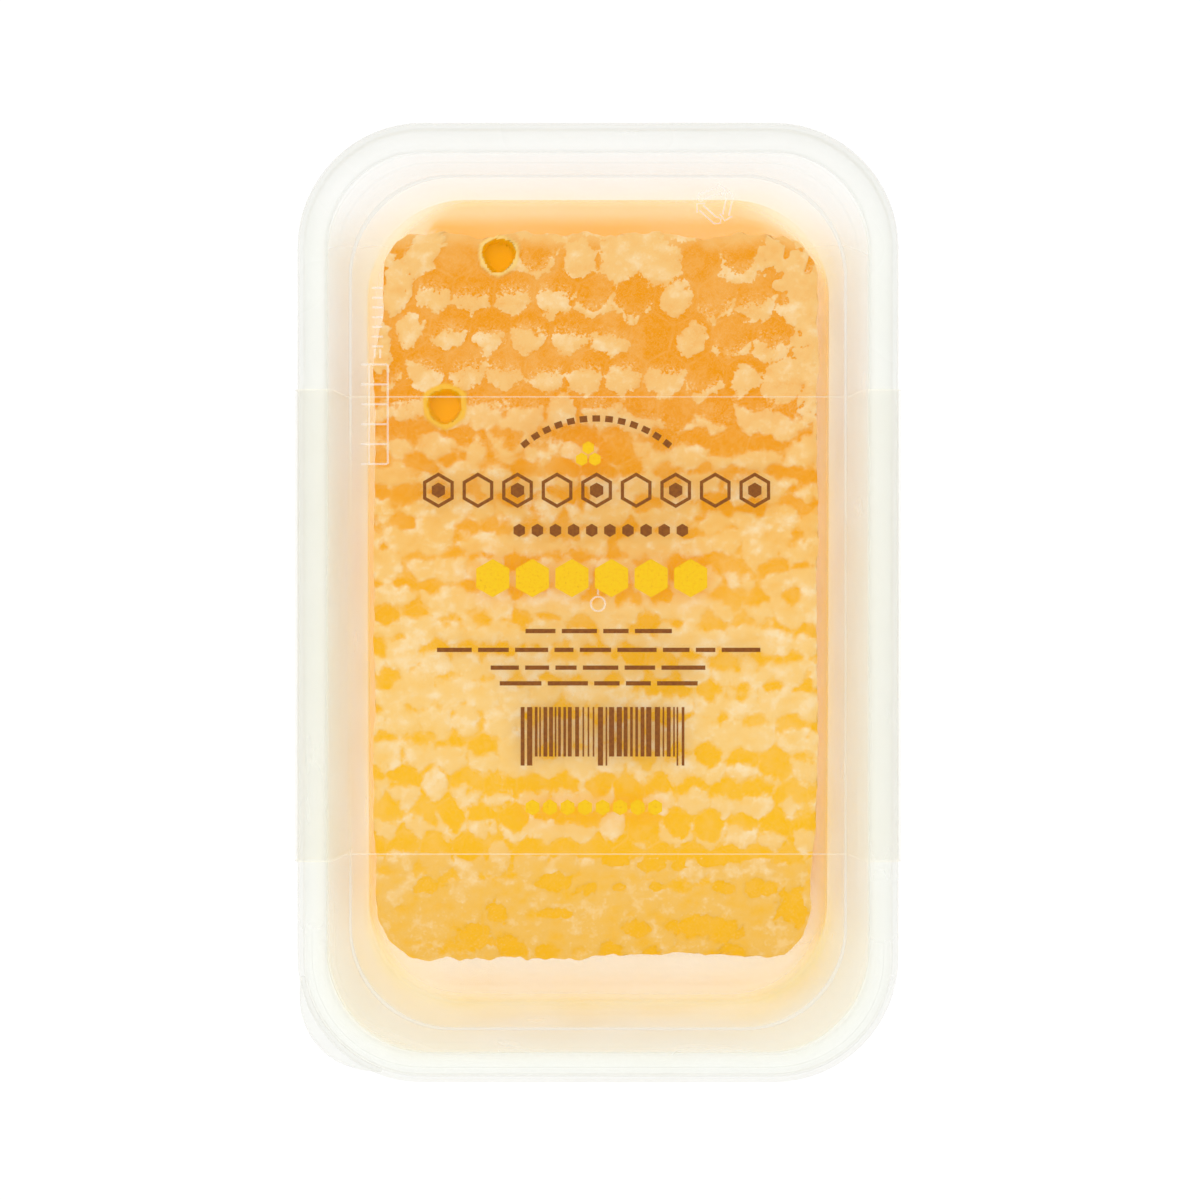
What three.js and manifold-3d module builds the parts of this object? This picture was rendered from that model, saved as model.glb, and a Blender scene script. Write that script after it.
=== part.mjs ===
// A block of cut honeycomb in a clear plastic tub, with honey pooled round it,
// a push-fit lid with a pull tab, and a clear film label wrapped over the lid and down both sides.
//
// Units are millimetres. +X runs across the tub, +Y along it and +Z up.
// The origin is on the floor, under the middle of the lid's outline.

import * as THREE from 'three';
import { mergeVertices } from 'three/addons/utils/BufferGeometryUtils.js';
import Module from 'manifold-3d';

const wasm = await Module();
wasm.setup();

// ---- Driving dimensions -------------------------------------------------------------------

const HEIGHT = 36; // floor to the top of the lid's rim
const RIM = { halfX: 43, halfY: 68.65, corner: 17.9 }; // the lid's outer edge, seen from above
const FIT = 0.3; // gap between pieces that touch
const CORNER_STEPS = 8; // flats that make up each rounded corner

const TUB = {
  wall: 0.75,
  floor: 0.8,
  mouthInset: 4.1, // from the lid's outer edge to the inside of the mouth
  mouthZ: 34.9,
  mouthCorner: 15,
  baseHalfX: 34.3, // inside of the tub where the floor's fillet starts
  baseHalfY: 59.9,
  baseCorner: 14.6,
  fillet: 2.4,
  outerFillet: 3,
  filletSteps: 4,
  flangeInset: 1.1,
  flangeThick: 0.9,
  lipDrop: 2.3,
};

const LID = {
  sheet: 0.7,
  skirtDrop: 6, // from the rim's top to the skirt's lower edge
  skirtThick: 0.8,
  shoulder: 1.1, // radius between skirt and rim
  rimInner: 4.7, // inset at which the rim turns down into the plug
  panelInset: 7.3, // inset at which the plug meets the sunk panel
  panelDrop: 3.4,
  panelSheet: 0.6,
  panelCorner: 14.6,
};
const PANEL_Z = HEIGHT - LID.panelDrop; // upper face of the sunk panel
const PANEL_UNDER_Z = PANEL_Z - LID.panelSheet;

const TAB = { reach: 2.2, centreDeg: 220, halfDeg: 30, thick: 1, root: 0.5, steps: 12 };

const MARK = { width: 0.3, proud: 0.25, root: 0.2 }; // raised lines under the lid's panel
const LADDER = { x: -32.15, topY: 34.2, length: 3.7, rungs: 6, pitch: 2.86, railX: [-32.9, -30.2] };
const TRIANGLE = { x: 16.9, y: 57.2, radius: 3.1, turnDeg: 18 };
const GATE = { x: 0, y: -0.2, outer: 1.2, inner: 0.85, barY: 2.3, barLength: 2.4 };

const LABEL = {
  thick: 0.22,
  lift: 0.12, // clear of the plastic it is stuck to
  topY: 29.6,
  bottomY: -36.2,
  flare: 0.026, // how much longer the film is at the rim than on the panel
  footZ: 9, // where the film ends on the tub's sides
  touchZ: 25.2, // where it meets the tub's side below the skirt
};

const COMB = {
  halfX: 32.2,
  halfY: 52,
  centreX: -0.3,
  centreY: 1.2,
  topZ: 30.7, // level of the wax borders between the caps
  corners: [7, 8, 6, 7], // +X+Y, -X+Y, -X-Y, +X-Y
  outlineStep: 1.7,
  ragged: 0.9, // how far the knife's cut wanders in from the outline
  flute: 0.45, // depth of the cells sliced along by the cut
  fluteSteps: 3, // outline steps across one sliced cell
  ribZ: 15.6, // the wax sheet between the two layers of cells
  ribHalf: 0.7,
};

// Cells stand in rows across the tub. Row 1 is at the +Y end; the numbers are row indices and millimetres.
const CELLS = {
  rows: 23,
  halfColumns: 9,
  firstY: 49.5,
  rowUpper: 5.55,
  rowMiddle: 4.45,
  rowLower: 4.9,
  pitchUpper: 5.8,
  pitchLower: 4.65,
  narrowing: [3, 10], // the cells grow narrower between these rows
  closing: [3.5, 7], // the rows draw together between these
  opening: [13, 17], // and spread again between these
  middleX: 0.2,
  drift: 0.68, // sideways step of each of the first rows
  driftRows: 4,
  tilt: 0.035, // the rows fall by this much for each millimetre to +X
  jitter: 0.28,
};
const CAP = { rise: 0.5, unevenness: 0.3, shoulder: 0.58 };
const OPEN_CELLS = [{ row: 1, column: -2.5 }, { row: 5, column: -3.5 }];
const TORN_CELLS = [{ row: 2, column: 4 }];
const CELL_DEPTH = 7;
const RIB = 0; // the layer number of the wax sheet between the cells below, 1, and above, 2

const HONEY = { bottomZ: 1.1, footInset: 1.4, lowZ: 1.8, highZ: 2.6 };

// ---- Small helpers ------------------------------------------------------------------------

const clamp01 = (value) => Math.min(1, Math.max(0, value));

function smoothStep(start, end, value) {
  const t = clamp01((value - start) / (end - start));
  return t * t * (3 - 2 * t);
}

// The area under smoothStep up to value, so that a spacing eased by smoothStep adds up to a place.
function smoothStepArea(start, end, value) {
  const t = clamp01((value - start) / (end - start));
  return (end - start) * (t ** 3 - t ** 4 / 2) + Math.max(0, value - end);
}

// A repeatable number from 0 to 1 for each pair of numbers.
function scatter(a, b) {
  const wave = Math.sin(a * 127.1 + b * 311.7) * 43758.5453;
  return wave - Math.floor(wave);
}

function toManifold(geometry) {
  const bare = new THREE.BufferGeometry();
  bare.setAttribute('position', geometry.getAttribute('position').clone());
  if (geometry.index) {
    bare.setIndex(geometry.index.clone());
  }
  const merged = mergeVertices(bare, 1e-4);
  return new wasm.Manifold(new wasm.Mesh({
    numProp: 3,
    vertProperties: new Float32Array(merged.getAttribute('position').array),
    triVerts: new Uint32Array(merged.index.array),
  }));
}

function toGeometry(manifold) {
  const { vertProperties, triVerts } = manifold.getMesh();
  const geometry = new THREE.BufferGeometry();
  geometry.setAttribute('position', new THREE.Float32BufferAttribute(vertProperties, 3));
  geometry.setIndex(Array.from(triVerts));
  geometry.computeVertexNormals();
  return geometry;
}

function pieceFrom(points, triangles) {
  const geometry = new THREE.BufferGeometry();
  geometry.setAttribute('position', new THREE.Float32BufferAttribute(points.flat(), 3));
  geometry.setIndex(triangles.flat());
  geometry.computeVertexNormals();
  return geometry;
}

function namedMesh(name, geometry, color, roughness) {
  const material = new THREE.MeshStandardMaterial({ color, roughness, metalness: 0 });
  const mesh = new THREE.Mesh(geometry, material);
  mesh.name = name;
  return mesh;
}

// ---- Lofts through rounded rectangles -------------------------------------------------------

// One corner radius, or four in the order +X+Y, -X+Y, -X-Y, +X-Y. The loop runs anticlockwise.
function roundedLoop(halfX, halfY, corner, z) {
  const radii = Array.isArray(corner) ? corner : [corner, corner, corner, corner];
  const signs = [[1, 1], [-1, 1], [-1, -1], [1, -1]];
  const loop = [];
  signs.forEach(([signX, signY], quarter) => {
    const radius = radii[quarter];
    for (let step = 0; step <= CORNER_STEPS; step += 1) {
      const angle = (Math.PI / 2) * (quarter + step / CORNER_STEPS);
      const x = signX * (halfX - radius) + radius * Math.cos(angle);
      const y = signY * (halfY - radius) + radius * Math.sin(angle);
      loop.push([x, y, z]);
    }
  });
  return loop;
}

// A closed body through loops of equal length. Its two ends are capped round their middles,
// unless the section is a ring, whose last loop joins its first.
function loft(loops, { ring = false } = {}) {
  const count = loops[0].length;
  const points = loops.flat();
  const triangles = [];
  const bands = ring ? loops.length : loops.length - 1;
  for (let band = 0; band < bands; band += 1) {
    const lower = band * count;
    const upper = ((band + 1) % loops.length) * count;
    for (let i = 0; i < count; i += 1) {
      const j = (i + 1) % count;
      triangles.push([lower + i, lower + j, upper + j], [lower + i, upper + j, upper + i]);
    }
  }
  if (!ring) {
    capEnd(points, triangles, 0, count, false);
    capEnd(points, triangles, (loops.length - 1) * count, count, true);
  }
  return pieceFrom(points, triangles);
}

function capEnd(points, triangles, first, count, facesUp) {
  const rim = points.slice(first, first + count);
  const middle = [0, 1, 2].map((axis) => rim.reduce((sum, point) => sum + point[axis], 0) / count);
  points.push(middle);
  const hub = points.length - 1;
  for (let i = 0; i < count; i += 1) {
    const a = first + i;
    const b = first + ((i + 1) % count);
    triangles.push(facesUp ? [hub, a, b] : [hub, b, a]);
  }
}

// ---- The tub --------------------------------------------------------------------------------

// Half sizes and corner of the tub's inside, or of its outside with a wall added, at a height.
function tubSection(z, outward = 0) {
  const share = (z - TUB.floor) / (TUB.mouthZ - TUB.floor);
  const mouthX = RIM.halfX - TUB.mouthInset;
  const mouthY = RIM.halfY - TUB.mouthInset;
  return {
    halfX: TUB.baseHalfX + (mouthX - TUB.baseHalfX) * share + outward,
    halfY: TUB.baseHalfY + (mouthY - TUB.baseHalfY) * share + outward,
    corner: TUB.baseCorner + (TUB.mouthCorner - TUB.baseCorner) * share + outward,
  };
}

// A loop on the tub's wall. With an inset it lies that much nearer to the middle.
function tubLoop(z, outward, inset = 0) {
  const { halfX, halfY, corner } = tubSection(z, outward);
  return roundedLoop(halfX - inset, halfY - inset, corner - inset, z);
}

// The quarter turn between a wall and the level under it, from the wall down to the level.
function filletLoops(levelZ, outward, radius) {
  const loops = [];
  for (let step = 0; step <= TUB.filletSteps; step += 1) {
    const angle = (Math.PI / 2) * (step / TUB.filletSteps);
    const z = levelZ + radius * (1 - Math.sin(angle));
    loops.push(tubLoop(z, outward, radius * (1 - Math.cos(angle))));
  }
  return loops;
}

function rimLoop(inset, z) {
  return roundedLoop(RIM.halfX - inset, RIM.halfY - inset, RIM.corner - inset, z);
}

function tubGeometry() {
  const flangeUnder = TUB.mouthZ - TUB.flangeThick;
  const lipZ = TUB.mouthZ - TUB.lipDrop;
  const outside = filletLoops(0, TUB.wall, TUB.outerFillet).reverse();
  const inside = filletLoops(TUB.floor, 0, TUB.fillet);
  return loft([
    ...outside,
    tubLoop(flangeUnder, TUB.wall),
    rimLoop(TUB.flangeInset + TUB.flangeThick, flangeUnder),
    rimLoop(TUB.flangeInset + TUB.flangeThick, lipZ),
    rimLoop(TUB.flangeInset, lipZ),
    rimLoop(TUB.flangeInset, TUB.mouthZ),
    tubLoop(TUB.mouthZ, 0),
    ...inside,
  ]);
}

// ---- The lid --------------------------------------------------------------------------------

// A loop between the rim's outline and the sunk panel's, whose corner is rounder.
function plugLoop(inset, z) {
  const share = clamp01((inset - LID.rimInner) / (LID.panelInset - LID.rimInner));
  const rimCorner = RIM.corner - LID.rimInner;
  const corner = rimCorner + (LID.panelCorner - rimCorner) * share;
  return roundedLoop(RIM.halfX - inset, RIM.halfY - inset, corner, z);
}

// The lid's upper face as [inset, z] from the sunk panel out to the skirt's lower edge.
function lidTopProfile() {
  const shoulder = [0, 1, 2, 3].map((step) => {
    const angle = (Math.PI / 2) * (step / 3);
    return [LID.shoulder * (1 - Math.sin(angle)), HEIGHT - LID.shoulder * (1 - Math.cos(angle))];
  });
  return [
    [LID.panelInset + 0.4, PANEL_Z],
    [LID.panelInset, PANEL_Z + 0.15],
    [LID.rimInner + 0.25, HEIGHT - 0.3],
    [LID.rimInner - 0.2, HEIGHT],
    ...shoulder,
    [0, HEIGHT - LID.skirtDrop],
  ];
}

function lidShell() {
  const rimUnder = HEIGHT - LID.sheet;
  const skirtInner = LID.skirtThick;
  const skirtZ = HEIGHT - LID.skirtDrop;
  const upper = lidTopProfile().reverse();
  return loft([
    plugLoop(LID.panelInset + 0.25, PANEL_UNDER_Z),
    plugLoop(LID.panelInset - 0.55, PANEL_UNDER_Z + 0.1),
    plugLoop(LID.rimInner - 0.1, rimUnder - 0.15),
    rimLoop(LID.rimInner - 0.7, rimUnder),
    rimLoop(skirtInner + 0.4, rimUnder),
    rimLoop(skirtInner, rimUnder - 0.4),
    rimLoop(skirtInner, skirtZ),
    ...upper.map(([inset, z]) => (inset < LID.rimInner ? rimLoop(inset, z) : plugLoop(inset, z))),
  ]);
}

// The crescent that sticks out of the skirt's lower edge at one corner, for a thumb to lift.
function pullTab() {
  const centreX = -(RIM.halfX - RIM.corner);
  const centreY = -(RIM.halfY - RIM.corner);
  const polar = (radius, degrees) => {
    const angle = THREE.MathUtils.degToRad(degrees);
    return new THREE.Vector2(centreX + radius * Math.cos(angle), centreY + radius * Math.sin(angle));
  };
  const outer = [];
  const inner = [];
  for (let step = 0; step <= TAB.steps; step += 1) {
    const share = (2 * step) / TAB.steps - 1;
    const degrees = TAB.centreDeg + share * TAB.halfDeg;
    outer.push(polar(RIM.corner - 0.1 + (TAB.reach + 0.1) * Math.cos((Math.PI / 2) * share), degrees));
    inner.push(polar(RIM.corner - TAB.root, degrees));
  }
  const shape = new THREE.Shape([...outer, ...inner.reverse()]);
  const plate = new THREE.ExtrudeGeometry(shape, { depth: TAB.thick, bevelEnabled: false });
  return plate.translate(0, 0, HEIGHT - LID.skirtDrop);
}

// A raised line under the panel, from its middle, its length and its direction.
function markBar(x, y, length, turn = 0) {
  const bar = new THREE.BoxGeometry(length, MARK.width, MARK.proud + MARK.root);
  bar.rotateZ(turn);
  return bar.translate(x, y, PANEL_UNDER_Z + (MARK.root - MARK.proud) / 2);
}

function ladderMarks() {
  const bars = [];
  for (let rung = 0; rung < LADDER.rungs; rung += 1) {
    bars.push(markBar(LADDER.x, LADDER.topY - rung * LADDER.pitch, LADDER.length));
  }
  const run = (LADDER.rungs - 1) * LADDER.pitch;
  LADDER.railX.forEach((x) => {
    bars.push(markBar(x, LADDER.topY - run / 2, run + MARK.width, Math.PI / 2));
  });
  return bars;
}

function triangleMarks() {
  return [0, 1, 2].map((side) => {
    const turn = THREE.MathUtils.degToRad(TRIANGLE.turnDeg + 120 * side);
    const x = TRIANGLE.x + (TRIANGLE.radius / 2) * Math.cos(turn + Math.PI / 2);
    const y = TRIANGLE.y + (TRIANGLE.radius / 2) * Math.sin(turn + Math.PI / 2);
    return markBar(x, y, TRIANGLE.radius * Math.sqrt(3), turn);
  });
}

function gateMarks() {
  const low = -MARK.proud;
  const section = [
    new THREE.Vector2(GATE.inner, low),
    new THREE.Vector2(GATE.outer, low),
    new THREE.Vector2(GATE.outer, MARK.root),
    new THREE.Vector2(GATE.inner, MARK.root),
    new THREE.Vector2(GATE.inner, low),
  ];
  const ring = new THREE.LatheGeometry(section, 20).rotateX(Math.PI / 2);
  ring.translate(GATE.x, GATE.y, PANEL_UNDER_Z);
  return [ring, markBar(GATE.x, GATE.barY, GATE.barLength, Math.PI / 2)];
}

function lidGeometry() {
  const extras = [pullTab(), ...ladderMarks(), ...triangleMarks(), ...gateMarks()];
  const whole = extras.reduce((body, extra) => body.add(toManifold(extra)), toManifold(lidShell()));
  return toGeometry(whole);
}

// ---- The label ------------------------------------------------------------------------------

// Moves an open path sideways, to the left of its direction, with mitred bends.
function offsetPath(path, distance) {
  return path.map((point, i) => {
    const before = path[Math.max(0, i - 1)];
    const after = path[Math.min(path.length - 1, i + 1)];
    const into = point.clone().sub(before).normalize();
    const out = after.clone().sub(point).normalize();
    const first = i === 0 ? out : into;
    const last = i === path.length - 1 ? into : out;
    const normal = new THREE.Vector2(-first.y - last.y, first.x + last.x).normalize();
    const mitre = distance / Math.max(0.5, normal.dot(new THREE.Vector2(-first.y, first.x)));
    return point.clone().addScaledVector(normal, mitre);
  });
}

// The film's path across the tub, from the foot on the +X side over the lid to the other foot.
function labelPath() {
  const sideX = (z) => tubSection(z, TUB.wall).halfX;
  const side = [
    new THREE.Vector2(sideX(LABEL.footZ), LABEL.footZ),
    new THREE.Vector2(sideX(LABEL.touchZ), LABEL.touchZ),
  ];
  const lid = lidTopProfile().reverse().map(([inset, z]) => new THREE.Vector2(RIM.halfX - inset, z));
  const half = [...side, ...lid];
  const mirrored = half.map((point) => new THREE.Vector2(-point.x, point.y)).reverse();
  return [...half, ...mirrored];
}

function labelGeometry() {
  const path = labelPath();
  const inner = offsetPath(path, -LABEL.lift);
  const outer = offsetPath(path, -LABEL.lift - LABEL.thick);
  const shape = new THREE.Shape([...inner, ...outer.reverse()]);
  const length = LABEL.topY - LABEL.bottomY;
  const band = new THREE.ExtrudeGeometry(shape, { depth: length, bevelEnabled: false });
  band.rotateX(Math.PI / 2).translate(0, LABEL.topY, 0);
  const middleY = (LABEL.topY + LABEL.bottomY) / 2;
  const panelEdge = RIM.halfX - LID.panelInset;
  const rimEdge = RIM.halfX - LID.rimInner;
  const position = band.getAttribute('position');
  for (let i = 0; i < position.count; i += 1) {
    const flare = LABEL.flare * smoothStep(panelEdge, rimEdge, Math.abs(position.getX(i)));
    position.setY(i, middleY + (position.getY(i) - middleY) * (1 + flare));
  }
  return band;
}

// ---- The honeycomb --------------------------------------------------------------------------

// Where a point of the cell pattern lies. Rows and columns may be fractions of a cell.
function cellPlace(row, column) {
  const { firstY, rowUpper, rowMiddle, rowLower, pitchUpper, pitchLower } = CELLS;
  const flatY = firstY - rowUpper * (row - 1)
    + (rowUpper - rowMiddle) * smoothStepArea(...CELLS.closing, row)
    - (rowLower - rowMiddle) * smoothStepArea(...CELLS.opening, row);
  const pitch = pitchUpper - (pitchUpper - pitchLower) * smoothStep(...CELLS.narrowing, row);
  const middleX = CELLS.middleX - CELLS.drift * Math.min(CELLS.driftRows, Math.max(-1, row - 1));
  const x = middleX + column * pitch;
  const rowKey = Math.round(row * 3);
  const columnKey = Math.round(column * 2);
  const sway = scatter(rowKey, columnKey) - 0.5;
  const bob = scatter(columnKey + 11, rowKey) - 0.5;
  return [x + sway * CELLS.jitter * 2, flatY - CELLS.tilt * x + bob * CELLS.jitter * 2];
}

const isListed = (list, row, column) => list.some((cell) => cell.row === row && cell.column === column);

// Rings inside a cell's border, each as [share of the border's width, height over the border].
function cellRings(row, column) {
  if (isListed(OPEN_CELLS, row, column)) {
    return [[0.86, 0.55], [0.74, 0.5], [0.72, -CELL_DEPTH]];
  }
  if (isListed(TORN_CELLS, row, column)) {
    return [[0.5, 0.3], [0.42, -CELL_DEPTH / 2]];
  }
  const rise = CAP.rise + CAP.unevenness * (scatter(row + 0.5, column) - 0.5) * 2;
  return [[CAP.shoulder, rise * 0.85]];
}

// Corners of a cell, anticlockwise from the one nearest +Y, as steps of row and column.
const CELL_CORNERS = [[-2 / 3, 0], [-1 / 3, -0.5], [1 / 3, -0.5], [2 / 3, 0], [1 / 3, 0.5], [-1 / 3, 0.5]];
// The neighbour across the edge that starts at each of those corners.
const CELL_NEIGHBOURS = [[-1, -0.5], [0, -1], [1, -0.5], [1, 0.5], [0, 1], [-1, 0.5]];

// A slab of whole cells, larger than the block: caps above and below, walls round the patch.
function cellSlab() {
  const points = [];
  const triangles = [];
  const shared = new Map();
  const cells = new Map();
  const bottomZ = TUB.floor + FIT;
  const keyOf = (row, column) => `${Math.round(row * 3)}/${Math.round(column * 2)}`;
  const corner = (row, column, z, side) => {
    const key = `${side}/${keyOf(row, column)}`;
    if (!shared.has(key)) {
      const [x, y] = cellPlace(row, column);
      shared.set(key, points.push([x, y, z]) - 1);
    }
    return shared.get(key);
  };
  for (let row = -1; row < CELLS.rows; row += 1) {
    for (let i = -CELLS.halfColumns; i <= CELLS.halfColumns; i += 1) {
      const column = i + (row % 2 === 0 ? 0 : 0.5);
      const [x, y] = cellPlace(row, column);
      const insideX = Math.abs(x - COMB.centreX) < COMB.halfX + 4.5;
      if (insideX && Math.abs(y - COMB.centreY) < COMB.halfY + 5) {
        cells.set(keyOf(row, column), { row, column });
      }
    }
  }
  cells.forEach(({ row, column }) => {
    const [middleX, middleY] = cellPlace(row, column);
    const top = CELL_CORNERS.map(([r, c]) => corner(row + r, column + c, COMB.topZ, 'top'));
    const bottom = CELL_CORNERS.map(([r, c]) => corner(row + r, column + c, bottomZ + 0.35, 'bottom'));
    const rings = cellRings(row, column);
    let outerRing = top;
    rings.forEach(([share, lift]) => {
      const ring = top.map((index) => {
        const [x, y] = points[index];
        return points.push([
          middleX + (x - middleX) * share,
          middleY + (y - middleY) * share,
          COMB.topZ + lift,
        ]) - 1;
      });
      ring.forEach((index, i) => {
        const j = (i + 1) % 6;
        triangles.push([outerRing[i], outerRing[j], ring[j]], [outerRing[i], ring[j], index]);
      });
      outerRing = ring;
    });
    const lastLift = rings[rings.length - 1][1];
    const crown = points.push([middleX, middleY, COMB.topZ + lastLift * (lastLift > 0 ? 1.2 : 1)]) - 1;
    const keel = points.push([middleX, middleY, bottomZ]) - 1;
    for (let i = 0; i < 6; i += 1) {
      const j = (i + 1) % 6;
      triangles.push([outerRing[i], outerRing[j], crown], [bottom[j], bottom[i], keel]);
      const [rowStep, columnStep] = CELL_NEIGHBOURS[i];
      if (!cells.has(keyOf(row + rowStep, column + columnStep))) {
        triangles.push([top[j], top[i], bottom[i]], [top[j], bottom[i], bottom[j]]);
      }
    }
  });
  return pieceFrom(points, triangles);
}

// The block's outline as evenly spaced points with their outward directions.
function combOutline() {
  const path = new THREE.Path();
  const signs = [[1, 1], [-1, 1], [-1, -1], [1, -1]];
  signs.forEach(([signX, signY], quarter) => {
    const radius = COMB.corners[quarter];
    const x = COMB.centreX + signX * (COMB.halfX - radius);
    const y = COMB.centreY + signY * (COMB.halfY - radius);
    path.absarc(x, y, radius, (Math.PI / 2) * quarter, (Math.PI / 2) * (quarter + 1), false);
  });
  path.closePath();
  const count = Math.round(path.getLength() / COMB.outlineStep);
  const outline = [];
  for (let i = 0; i < count; i += 1) {
    const point = path.getPointAt(i / count);
    const tangent = path.getTangentAt(i / count);
    outline.push({ point, outward: new THREE.Vector2(tangent.y, -tangent.x) });
  }
  return outline;
}

// The knife's cut round the block: fluted by the cells it slices, which stand half a cell apart
// in the two layers, and nicked here and there. The rib between the layers is not fluted.
function cutLoop(outline, { z, layer }) {
  return outline.map(({ point, outward }, i) => {
    const phase = i / COMB.fluteSteps + layer / 2;
    const flute = layer === RIB ? 0 : COMB.flute * Math.abs(Math.sin(Math.PI * phase));
    const nick = COMB.ragged * scatter(i, layer) * scatter(layer, Math.floor(i / 4));
    const inset = flute + nick;
    return [point.x - outward.x * inset, point.y - outward.y * inset, z];
  });
}

function honeycombGeometry() {
  const outline = combOutline();
  const levels = [
    { z: -1, layer: 1 },
    { z: COMB.ribZ - COMB.ribHalf, layer: 1 },
    { z: COMB.ribZ, layer: RIB },
    { z: COMB.ribZ + COMB.ribHalf, layer: 2 },
    { z: COMB.topZ + 3, layer: 2 },
  ];
  const block = loft(levels.map((level) => cutLoop(outline, level)));
  return toGeometry(toManifold(cellSlab()).intersect(toManifold(block)));
}

// ---- The honey ------------------------------------------------------------------------------

// The pool is a little deeper at the +Y end.
function honeyLevel(y) {
  const share = clamp01((y + TUB.baseHalfY) / (2 * TUB.baseHalfY));
  return HONEY.lowZ + (HONEY.highZ - HONEY.lowZ) * share;
}

// How far the curve between floor and wall stands in from the wall at a height.
function filletInset(z) {
  const drop = Math.max(0, TUB.floor + TUB.fillet - z);
  return TUB.fillet - Math.sqrt(TUB.fillet ** 2 - drop ** 2);
}

function honeyGeometry() {
  const roundBlock = (level) => {
    const loop = roundedLoop(COMB.halfX + FIT, COMB.halfY + FIT, COMB.corners, 0);
    return loop.map(([x, y]) => [x + COMB.centreX, y + COMB.centreY, level(y + COMB.centreY)]);
  };
  const surface = tubLoop(HONEY.lowZ, 0, FIT).map(([x, y]) => {
    const z = honeyLevel(y);
    const inset = filletInset(z);
    return [x - Math.sign(x) * inset, y - Math.sign(y) * inset, z];
  });
  return loft([
    roundBlock(() => HONEY.bottomZ),
    tubLoop(HONEY.bottomZ, 0, HONEY.footInset),
    surface,
    roundBlock(honeyLevel),
  ], { ring: true });
}

// ---- The pack -------------------------------------------------------------------------------

const pack = new THREE.Group();
pack.name = 'honeycomb_pack';
pack.add(
  namedMesh('tub', tubGeometry(), 0xeef0ea, 0.3),
  namedMesh('lid', lidGeometry(), 0xf2f4ef, 0.3),
  namedMesh('label', labelGeometry(), 0xf6e7bf, 0.4),
  namedMesh('honeycomb', honeycombGeometry(), 0xf7cf86, 0.55),
  namedMesh('honey', honeyGeometry(), 0xf5a93a, 0.15),
);

export default pack;
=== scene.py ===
"""Looks for a block of cut honeycomb in a clear tub, with a push-fit lid and a film label.

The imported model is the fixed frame. Shapes are worked out in millimetres on numpy grids and
become metres once, when a mesh is made. +X runs across the tub, +Y along it and +Z up. The
first number given to SoftNoise, cloudy or default_rng is a seed, which names a pattern.
"""

import logging
import math
from dataclasses import dataclass, field, fields
from enum import Enum
from typing import ClassVar, Sequence, Union

import bpy
import numpy as np
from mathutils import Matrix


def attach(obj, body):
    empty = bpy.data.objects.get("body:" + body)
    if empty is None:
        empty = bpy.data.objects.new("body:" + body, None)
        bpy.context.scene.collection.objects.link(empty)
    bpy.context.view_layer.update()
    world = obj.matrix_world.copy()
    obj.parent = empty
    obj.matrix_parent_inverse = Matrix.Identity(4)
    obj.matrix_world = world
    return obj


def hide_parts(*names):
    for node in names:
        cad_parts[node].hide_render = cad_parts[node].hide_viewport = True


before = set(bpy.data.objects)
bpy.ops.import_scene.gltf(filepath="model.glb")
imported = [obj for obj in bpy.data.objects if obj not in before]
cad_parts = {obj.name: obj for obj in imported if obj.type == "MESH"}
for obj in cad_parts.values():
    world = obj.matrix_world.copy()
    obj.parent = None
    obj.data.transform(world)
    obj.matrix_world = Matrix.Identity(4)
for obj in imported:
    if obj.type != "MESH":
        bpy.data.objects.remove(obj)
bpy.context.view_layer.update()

MM = 0.001
BODY = "root"
LOG = logging.getLogger("honeycomb_pack")
Array = np.ndarray
Colour = tuple[float, float, float]


# ---- Numbers and noise ----------------------------------------------------------------------


def tone(code: str) -> Colour:
    """A screen colour such as "f2a21f" as the light it stands for.

    Args:
        code: Red, green and blue as six hexadecimal digits.

    Returns:
        Three linear values from 0 to 1.
    """
    parts = (int(code[i:i + 2], 16) / 255 for i in (0, 2, 4))
    red, green, blue = (p / 12.92 if p <= 0.04045 else ((p + 0.055) / 1.055) ** 2.4 for p in parts)
    return red, green, blue


def smooth_step(start: float, end: float, value: Array) -> Array:
    """Rises from 0 at start to 1 at end as t squared times (3 - 2t)."""
    t = np.clip((value - start) / (end - start), 0, 1)
    return t * t * (3 - 2 * t)


def smooth_step_area(start: float, end: float, value: Array) -> Array:
    """The area under smooth_step up to value, so that eased spacings add up to places."""
    t = np.clip((value - start) / (end - start), 0, 1)
    return (end - start) * (t ** 3 - t ** 4 / 2) + np.maximum(0, value - end)


def lerp(a: Array, b: Array, share: Array) -> Array:
    """The value that lies at share of the way from a to b."""
    return a + (b - a) * share


class SoftNoise:
    """Smooth random heights: random values on a turned square lattice, joined by smooth steps."""

    def __init__(self, seed: int, size: float) -> None:
        """Args: seed: Names the pattern. size: Distance between the lattice's points."""
        self.table = np.random.default_rng(seed).random((256, 256)) * 2 - 1
        self.cos, self.sin = math.cos(seed) / size, math.sin(seed) / size

    def __call__(self, x: Array, y: Array) -> Array:
        """Args: x, y: Places of equal shape. Returns: Values from -1 to 1."""
        u, v = x * self.cos + y * self.sin + 97.3, y * self.cos - x * self.sin + 61.7
        i, j = np.floor(u).astype(int), np.floor(v).astype(int)
        a, b = smooth_step(0, 1, u - i), smooth_step(0, 1, v - j)
        low = lerp(self.table[i % 256, j % 256], self.table[(i + 1) % 256, j % 256], a)
        high = lerp(self.table[i % 256, (j + 1) % 256], self.table[(i + 1) % 256, (j + 1) % 256], a)
        return lerp(low, high, b)


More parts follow.
